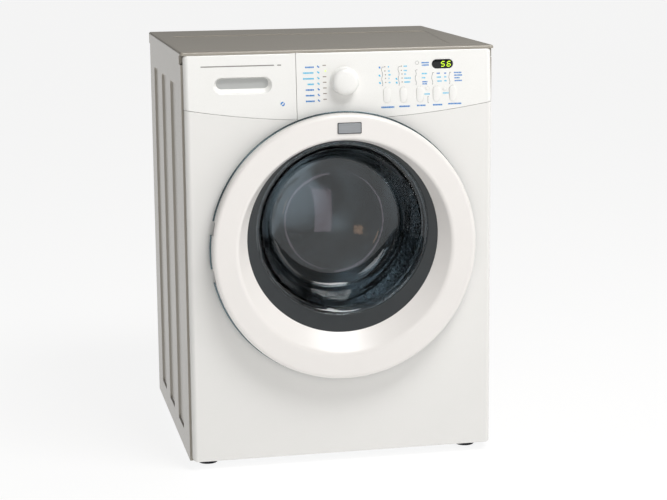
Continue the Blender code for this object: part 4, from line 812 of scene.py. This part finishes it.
def make_door():
    """White ring with a leaning dish, bright band, dark frame, back cover and the glass bowl."""
    up, opening_shift = DOOR_UP, OPENING_UP - DOOR_UP
    face, back = DOOR_FACE, RING_BACK
    outer, dish = DOOR_RADIUS, 236 * MM
    wall = 3 * MM
    profile = [(outer, back, 0), (outer, face, 0), (dish, face + 0.6 * MM, 0),
               (OPENING, -316 * MM, opening_shift), (OPENING + 2.2 * MM, -315.8 * MM, opening_shift), (dish + 2 * MM, face + 5 * MM, 0),
               (outer - wall, face + 6 * MM, 0), (outer - wall, back, 0)]
    shape = rounded(profile, mm(0.6, 11, 7, 1.2, 0, 4, 6, 0.4), 9)
    ring = keep("door_outer_ring", turned(shape, up, 0, 192), ring_abs, "door", "door_ring")
    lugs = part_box("hinge_bracket")
    middle = (lugs[0].z + lugs[1].z) / 2

    def notches(x, y, half):
        """Two box shaped cutters at the hinge lugs."""
        cutters = [bmesh.new() for _ in HINGE_LUGS]
        for cutter, offset in zip(cutters, HINGE_LUGS):
            block(cutter, x, y, (middle + offset - half, middle + offset + half))
        return cutters

    carve(ring, notches(mm(-310, -273), (face + 9.5 * MM, back + 10 * MM), 14 * MM))

    y0, y1 = span("door_trim_ring", 1)
    inner, radius = 282 * MM, outer + 3.4 * MM
    band = [(radius - 7.7 * MM, y1, 0), (radius, y1 - 7 * MM, 0), (radius, y0, 0), (outer - 1 * MM, y0, 0),
            (inner, y0, 0), (inner, y1, 0)]
    shape = rounded(band, mm(0.8, 3, 1.6, 0, 0.5, 0.5), 6)
    # The band's dark teal grey is painted dark reflection and shade on the chrome
    trim = keep("door_trim_band", turned(shape, up, 0, 192), chrome, "door", "door_trim_ring")
    carve(trim, notches(mm(-400, -260), (y0 - 10 * MM, y1 + 10 * MM), 15 * MM))

    glass_shift = GLASS_UP - up
    y = span("door_inner_frame", 1)[0]
    frame_profile = [(OPENING - 1.5 * MM, y, opening_shift), (OPENING + 4 * MM, y, opening_shift),
                     (OPENING + 3 * MM, y + 4.5 * MM, opening_shift), (OPENING, y + 7 * MM, opening_shift),
                     (GLASS_RIM, y + 7 * MM, glass_shift),
                     (GLASS_RIM + 0.5 * MM, y + 4.6 * MM, glass_shift),
                     (GLASS_RIM + 2.5 * MM, y + 3.4 * MM, glass_shift * 0.98)]
    shape = rounded(frame_profile, mm(0.8, 0, 0, 0, 0, 0.6, 1), 3)
    keep("door_dark_frame", turned(shape, up, 0, 160), dark_abs, "door", "door_inner_frame")

    y_rim, deep = span("door_glass", 1)
    front = (stations(deep, [(0, -8), (60, -7.6), (118, -6), (143, -12), (157, -33)])
             + stations(y_rim, [(167, 42), (174, 14), (176.5, 8.5), (183.5, 1.6), (186, 0)])
             + [(GLASS_RIM, y_rim + 0.4 * MM)])
    rear = ([(GLASS_RIM, y_rim + 4 * MM)] + stations(y_rim, [(186, 5), (181.5, 11), (173.5, 42)])
            + stations(deep, [(163, -30), (150, -8), (121, 0), (60, -1.6), (0, -2)]))
    eases = mm(0, 0, 16, 16, 14, 12, 3, 3, 1.2, 1, 1, 1, 2, 5, 14, 14, 16, 18, 0, 0)
    points = rounded(front + rear, eases, 6)
    keep("door_bowl_glass", turned(points, GLASS_UP, 0, 160), bowl_glass, "door", "door_glass", crease=60)

    low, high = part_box("door_back_panel")
    cover = (stations(high.y, [(279.7, 0), (279.7, -3)], 0)
             + stations(high.y, [(216.5, -3), (216.5, 0)], opening_shift))
    cover = turned(rounded(cover, mm(1.2, 0.4, 0.4, 1.2), 4), up, 0, 160)
    for offset in HINGE_LUGS:
        for side in (-1, 1):
            z = sorted((middle + offset + side * 14 * MM, middle + offset + side * 23 * MM))
            block(cover, (-276 * MM, -264 * MM), (low.y, high.y - 2 * MM), z)
    keep("door_back_cover", cover, grey_poly, "door", "door_back_panel")

    plate_x, plate_z = mm(8, 750)
    for name, grow, proud, material in (("door_badge_frame", 0.0, 1.2, dark_abs),
                                        ("door_badge_plate", 1.6, 1.7, badge_metal)):
        shape = pill(plate_x, plate_z, (52 - 2 * grow) * MM, (24 - 2 * grow) * MM, (2.0 - grow / 2) * MM, 5)
        bm = bmesh.new()
        rings = [[(x, face + 1.2 * MM, z) for x, z in shape],
                 [(x, face - (proud - 0.4) * MM, z) for x, z in shape],
                 [(x, face - proud * MM, z) for x, z in inset(shape, 0.4 * MM)]]
        loft(bm, rings)
        keep(name, bm, material, "door")


def make_door_tab():
    """Small release tab that stands on the dish's right wall."""
    bm = bmesh.new()
    turn, shape = math.radians(-6), pill(0, 0, 9 * MM, 26 * MM, 3 * MM, 6)
    along = Vector((227 * MM - OPENING, DOOR_FACE + 5 * MM - (-316 * MM), 0)).normalized()
    rings = []
    for proud, ease in ((-1.5, 0), (0.9, 0), (1.4, 0.5)):
        ring = []
        for px, pz in inset(shape, ease * MM) if ease else shape:
            radius, y = OPENING + 8.5 * MM + along.x * px, -321.5 * MM + along.y * px
            radius -= -along.y * proud * MM
            y -= abs(along.x) * proud * MM
            angle = turn + pz / radius
            ring.append((radius * math.cos(angle), y, DOOR_UP + radius * math.sin(angle)))
        rings.append(ring)
    loft(bm, rings)
    keep("door_release_tab", bm, ring_abs, "door")


# Drum and seal

def make_drum():
    """Drum shell with a rolled mouth, punched holes all round and a pressed back."""
    bm = bmesh.new()
    r, front, rear = DRUM_RADIUS - 0.4 * MM, DRUM_FRONT, DRUM_REAR
    ring_count, row_count = 96, 22
    y0, y1 = front + 22 * MM, rear - 12 * MM
    pitch = (y1 - y0) / row_count
    hole = 3.1 * MM

    def on_wall(turn, y):
        return (r * math.sin(turn), y, DRUM_UP + r * math.cos(turn))

    step = math.tau / ring_count
    corner = {}
    for i in range(ring_count):
        for j in range(row_count + 1):
            corner[i, j] = bm.verts.new(on_wall(i * step, y0 + j * pitch))
    for i in range(ring_count):
        for j in range(row_count):
            after = (i + 1) % ring_count
            cell = [corner[i, j], corner[after, j], corner[after, j + 1], corner[i, j + 1]]
            if (i + j) % 2:
                bm.faces.new(cell)
                continue
            rim = []
            for k in range(8):
                angle = math.tau * (k + 0.5) / 8 - math.pi * 3 / 4 - math.tau / 16
                rim.append(bm.verts.new(on_wall((i + 0.5) * step + hole / r * math.cos(angle),
                                                y0 + (j + 0.5) * pitch + hole * math.sin(angle))))
            for q in range(4):
                a, b = cell[q], cell[(q + 1) % 4]
                bm.faces.new((a, rim[2 * q + 1], rim[2 * q]))
                bm.faces.new((a, b, rim[(2 * q + 2) % 8], rim[2 * q + 1]))
    edge_front = [corner[i, 0] for i in range(ring_count)]
    edge_rear = [corner[i, row_count] for i in range(ring_count)]

    def carry(edge, stations):
        for radius, y, *rise in stations:
            fresh = []
            for i in range(ring_count):
                turn = i * step
                lift = rise[0](turn) if rise else 0.0
                fresh.append(bm.verts.new((radius * math.sin(turn), y - lift,
                                           DRUM_UP + radius * math.cos(turn))))
            for i in range(ring_count):
                j = (i + 1) % ring_count
                bm.faces.new((edge[i], edge[j], fresh[j], fresh[i]))
            edge = fresh
        return edge

    carry(edge_front, [(r, front + 14 * MM), (r - 2 * MM, front + 7 * MM),
                       (r - 7 * MM, front + 2 * MM), (r - 14 * MM, front + 0.4 * MM)]
          + stations(front, [(220, 0.4), (206, 0.5), (202, 2), (200.4, 6), (202, 9)]))

    def lobes(height):
        """Three swept lobes pressed into the drum's back."""
        return lambda turn: height * MM * (0.5 + 0.5 * math.cos(3 * turn)) ** 1.5

    pressed = [(r, rear - 6 * MM), (r - 3 * MM, rear - 1.6 * MM), (r - 8 * MM, rear - 0.6 * MM)]
    pressed += stations(rear, [(240, -0.6)])
    for radius, sunk, height in ((225, -0.8, 3), (200, -1, 9), (160, -1, 12), (120, -1, 11), (90, -2, 6)):
        pressed += stations(rear, [(radius, sunk)], lobes(height))
    pressed += stations(rear, [(75, -8), (60, -9), (40, -9), (12, -9)])
    last = carry(edge_rear, pressed)
    bm.faces.new(last)
    bmesh.ops.recalc_face_normals(bm, faces=bm.faces)
    as_sheet(put("drum_shell", bm, drum_steel), 0.7 * MM, 0.0, "drum", "drum")

    for i in range(3):
        node = f"drum_lifter_{i + 1}"
        bm = bmesh.new()
        root = math.sqrt((DRUM_RADIUS - 2.4 * MM) ** 2 - (38 * MM) ** 2)
        tip = root - 55 * MM
        shape = [(-38, -root / MM), (38, -root / MM), (24, -root / MM + 13), (13, -tip / MM - 14),
                 (8, -tip / MM), (-8, -tip / MM), (-13, -tip / MM - 14), (-24, -root / MM + 13)]
        shape = [(px * MM, pz * MM) for px, pz in shape]
        flat = [(px, pz, 0) for px, pz in shape]
        outline = [p[:2] for p in rounded(flat, mm(0, 0, 10, 10, 6, 6, 10, 10), 4)]
        y_low, y_high = DRUM_FRONT + 30 * MM, DRUM_REAR - 30 * MM
        rings = []
        for s in range(21):
            t = s / 20
            end = min(t, 1 - t) / 0.14
            rise = math.sin(math.pi / 2 * min(1.0, end)) if end < 1 else 1.0
            rise = 0.25 + 0.75 * rise
            wave = 1.0 - 0.10 * math.cos(t * math.tau * 2)
            ring = []
            for px, pz in outline:
                height = (pz + root) * rise * min(1.0, wave)
                ring.append((px * (0.82 + 0.18 * rise), y_low + (y_high - y_low) * t, -root + height))
            rings.append(ring)
        loft(bm, rings)
        turn = Matrix.Translation((0, 0, DRUM_UP)) @ Matrix.Rotation(i * math.tau / 3, 4, "Y")
        bm.transform(turn)
        keep(f"lifter_{i + 1}", bm, grey_poly, "drum", node, crease=50)


def make_gasket():
    """Moulded rubber bellows that joins the front panel to the tub's mouth."""
    y0, y1 = span("door_gasket", 1)
    middle = (OPENING_UP + DRUM_UP) / 2 - DRUM_UP
    top = OPENING_UP - DRUM_UP
    outer = (stations(y0, [(222, 0), (205, 0), (204, 8), (203.5, 16)], top)
             + stations(y0, [(222, 23), (223, 29), (222, 34)], middle)
             + stations(y1, [(208.5, -6), (208, 0), (212, 0), (212, -2)], 0)
             + stations(y0, [(225, 36), (226, 29), (225, 21)], middle)
             + stations(y0, [(208, 14), (208, 3), (222, 3)], top))
    eases = mm(1, 1.5, 2, 4, 5, 2, 5, 4, 1, 1, 1, 5, 2, 5, 4, 1, 1)
    piece = keep("gasket_bellows", turned(rounded(outer, eases, 4), DRUM_UP, 0, 120), grey_rubber, None,
                 "door_gasket", crease=60)
    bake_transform(piece)


def wire_along(name, points, radius, material, node, ribs=0, sides=12):
    """A round wire or hose along points, with rings pressed into it where it bends."""
    bm = bmesh.new()
    rings = []
    points = [Vector(p) for p in points]
    across = Vector((1, 0.01, 0)).normalized()
    for i, here in enumerate(points):
        way = (points[min(i + 1, len(points) - 1)] - points[max(i - 1, 0)]).normalized()
        across = (across - way * across.dot(way)).normalized()
        other = way.cross(across)
        ribbed = ribs and i % ribs < ribs / 2 and 4 < i < len(points) - 5
        grow = radius * 1.06 if ribbed else radius
        turns = [k * math.tau / sides for k in range(sides)]
        rings.append([tuple(here + (across * math.cos(t) + other * math.sin(t)) * grow) for t in turns])
    loft(bm, rings)
    piece = keep(name, bm, material, None, node, crease=60)
    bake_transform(piece)
    return piece


def make_springs():
    """Coiled wire springs that hang the tub."""
    for side in ("left", "right"):
        low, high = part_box(f"spring_{side}")
        x, y = (low.x + high.x) / 2, (low.y + high.y) / 2
        wire = 2.2 * MM
        radius = (high.x - low.x) / 2 - wire
        base, rise = low.z + wire, high.z - low.z - 2 * wire
        points = []
        coils, steps = 7, 16
        for i in range(coils * steps + 1):
            turn, t = i * math.tau / steps, i / (coils * steps)
            points.append((x + radius * math.cos(turn), y + radius * math.sin(turn), base + rise * t))
        wire_along(f"hanging_spring_{side}", points, wire * 0.96, zinc_sheet,
                   f"spring_{side}")


def make_hose():
    """Corrugated sump hose that bends from the tub's outlet to the drain pump."""
    low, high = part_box("sump_hose")
    radius, stub, drop, sweep, tail = mm(17, 8, 95, 105, 12)
    top = Vector((low.x + radius, high.y - radius, high.z))
    inlet = Vector((high.x, low.y + radius, low.z + radius))
    first, last = top - Vector((0, 0, stub)), inlet - Vector((tail, 0, 0))
    handles = (first, first - Vector((0, 0, drop)), last - Vector((sweep, 0, 0)), last)
    points = [top]
    for i in range(73):
        t = i / 72
        weights = ((1 - t) ** 3, 3 * t * (1 - t) ** 2, 3 * t * t * (1 - t), t ** 3)
        points.append(sum((h * w for h, w in zip(handles, weights)), Vector()))
    points.append(inlet)
    wire_along("corrugated_hose", points[::-1], radius * 0.94, grey_rubber, "sump_hose",
               4, 24)


# Finishes for the parts whose shape is already right

def repaint():
    """Gives each remaining part its own made finish."""
    by_slot = {
        # grey_enamel is painted shade on the white cabinet's top and sides
        "white_enamel": white_enamel, "grey_enamel": grey_enamel, "white_plastic": white_abs,
        "chrome_band": chrome, "dark_plastic": dark_abs, "grey_plastic": grey_poly, "door_glass": bowl_glass,
        "display_black": dark_lens, "drum_steel": drum_steel, "cast_aluminium": cast_alloy,
        "zinc_steel": zinc_sheet, "rubber_grey": grey_rubber, "rubber_black": black_rubber,
        "tub_polymer": tub_poly, "concrete": grey_concrete, "board_green": board_laminate,
    }
    for entry in frame["record"]["materials"]:
        for node in entry.get("nodes", []):
            part = frame["nodes"].get(node)
            if part is not None:
                for place in part.material_slots:
                    place.material = by_slot[entry["slot"]]


repaint()
make_front_panel()
make_drawer_face()
make_console()
make_keys()
make_knob()
make_display()
make_printing()
make_worktop()
make_side("left_side_panel", -1)
make_side("right_side_panel", 1)
make_door()
make_door_tab()
make_springs()
make_hose()
make_drum()
make_gasket()


# Studio

def make_floor():
    """A wide pale floor."""
    bm = bmesh.new()
    bmesh.ops.create_grid(bm, x_segments=24, y_segments=24, size=45)
    put("floor", bm, floor_white)


def add_softbox(name, place, target, size, power, colour="#FFFFFF"):
    """A soft rectangular studio light aimed at a point."""
    data = bpy.data.lights.new(name, "AREA")
    data.shape, data.size, data.size_y, data.energy = "RECTANGLE", size[0], size[1], power
    data.color = linear(colour)[:3]
    light = bpy.data.objects.new(name, data)
    bpy.context.scene.collection.objects.link(light)
    light.location = place
    light.visible_camera = False
    light.rotation_euler = (Vector(target) - Vector(place)).to_track_quat("-Z", "Y").to_euler()


def make_world():
    """A pale studio room, bright in front and above, dim on the left."""
    world = bpy.data.worlds.new("studio_room")
    bpy.context.scene.world = world
    world.use_nodes = True
    tree = world.node_tree
    tree.nodes.clear()
    way = add_node(tree, "ShaderNodeTexCoord").outputs["Generated"]
    part = add_node(tree, "ShaderNodeSeparateXYZ", (), {0: way})
    across = add_node(tree, "ShaderNodeMapRange",
                      {"From Min": -0.75, "From Max": 0.35, "To Min": 0.10, "To Max": 0.26,
                       "interpolation_type": "SMOOTHSTEP"}, {"Value": part.outputs["X"]})
    room = add_node(tree, "ShaderNodeBackground", {"Color": linear("#FBFAF8")},
                    {"Strength": across.outputs["Result"]})
    backdrop = add_node(tree, "ShaderNodeBackground", {"Color": (1, 1, 1, 1), "Strength": 1.0})
    seen = add_node(tree, "ShaderNodeLightPath")
    mix = add_node(tree, "ShaderNodeMixShader", (), {0: seen.outputs["Is Camera Ray"], 1: room.outputs[0],
                                                     2: backdrop.outputs[0]})
    add_node(tree, "ShaderNodeOutputWorld", (), {"Surface": mix.outputs[0]})


def make_camera():
    """Camera at standing height, a little left of the machine."""
    data = bpy.data.cameras.new("camera")
    camera = bpy.data.objects.new("camera", data)
    bpy.context.scene.collection.objects.link(camera)
    bpy.context.scene.camera = camera
    stand = (-0.78984, -4.0601, 1.22952)
    azimuth, drop, roll = 0.2092, 0.1911, -0.0077
    frame_wide, focal, sensor = 667, 1797.456, 36.0
    ahead = Vector((math.sin(azimuth) * math.cos(drop), math.cos(azimuth) * math.cos(drop),
                    -math.sin(drop)))
    right = ahead.cross(Vector((0, 0, 1))).normalized()
    above = right.cross(ahead)
    c, s = math.cos(roll), math.sin(roll)
    right, above = right * c + above * s, above * c - right * s
    turn = Matrix((right, above, -ahead)).transposed().to_4x4()
    camera.matrix_world = Matrix.Translation(stand) @ turn
    data.sensor_width, data.lens = sensor, focal / frame_wide * sensor
    data.shift_x, data.shift_y = -0.0186, -0.0061
    data.clip_start, data.clip_end = 0.1, 60


make_floor()
make_world()
for light in (("key_high", (1.1, -2.1, 4.0), (0, -0.3, 0.6), (2.2, 1.5), 118),
              ("fill_right", (3.0, -2.0, 1.6), (0.2, -0.2, 0.5), (1.2, 2.2), 12),
              ("front_soft", (-0.9, -4.6, 1.8), (0, -0.3, 0.5), (1.2, 1.6), 18),
              ("window_card", (0.40, -2.50, 0.17), (-0.04, -0.2, 0.54), (0.11, 0.26), 0.16, "#CDBCCB"),
              ("lamp_card", (0.62, -2.45, 0.05), (0.02, -0.2, 0.50), (0.05, 0.05), 0.018, "#E0B088")):
    add_softbox(*light)
make_camera()
bpy.context.scene.view_settings.view_transform = "Standard"
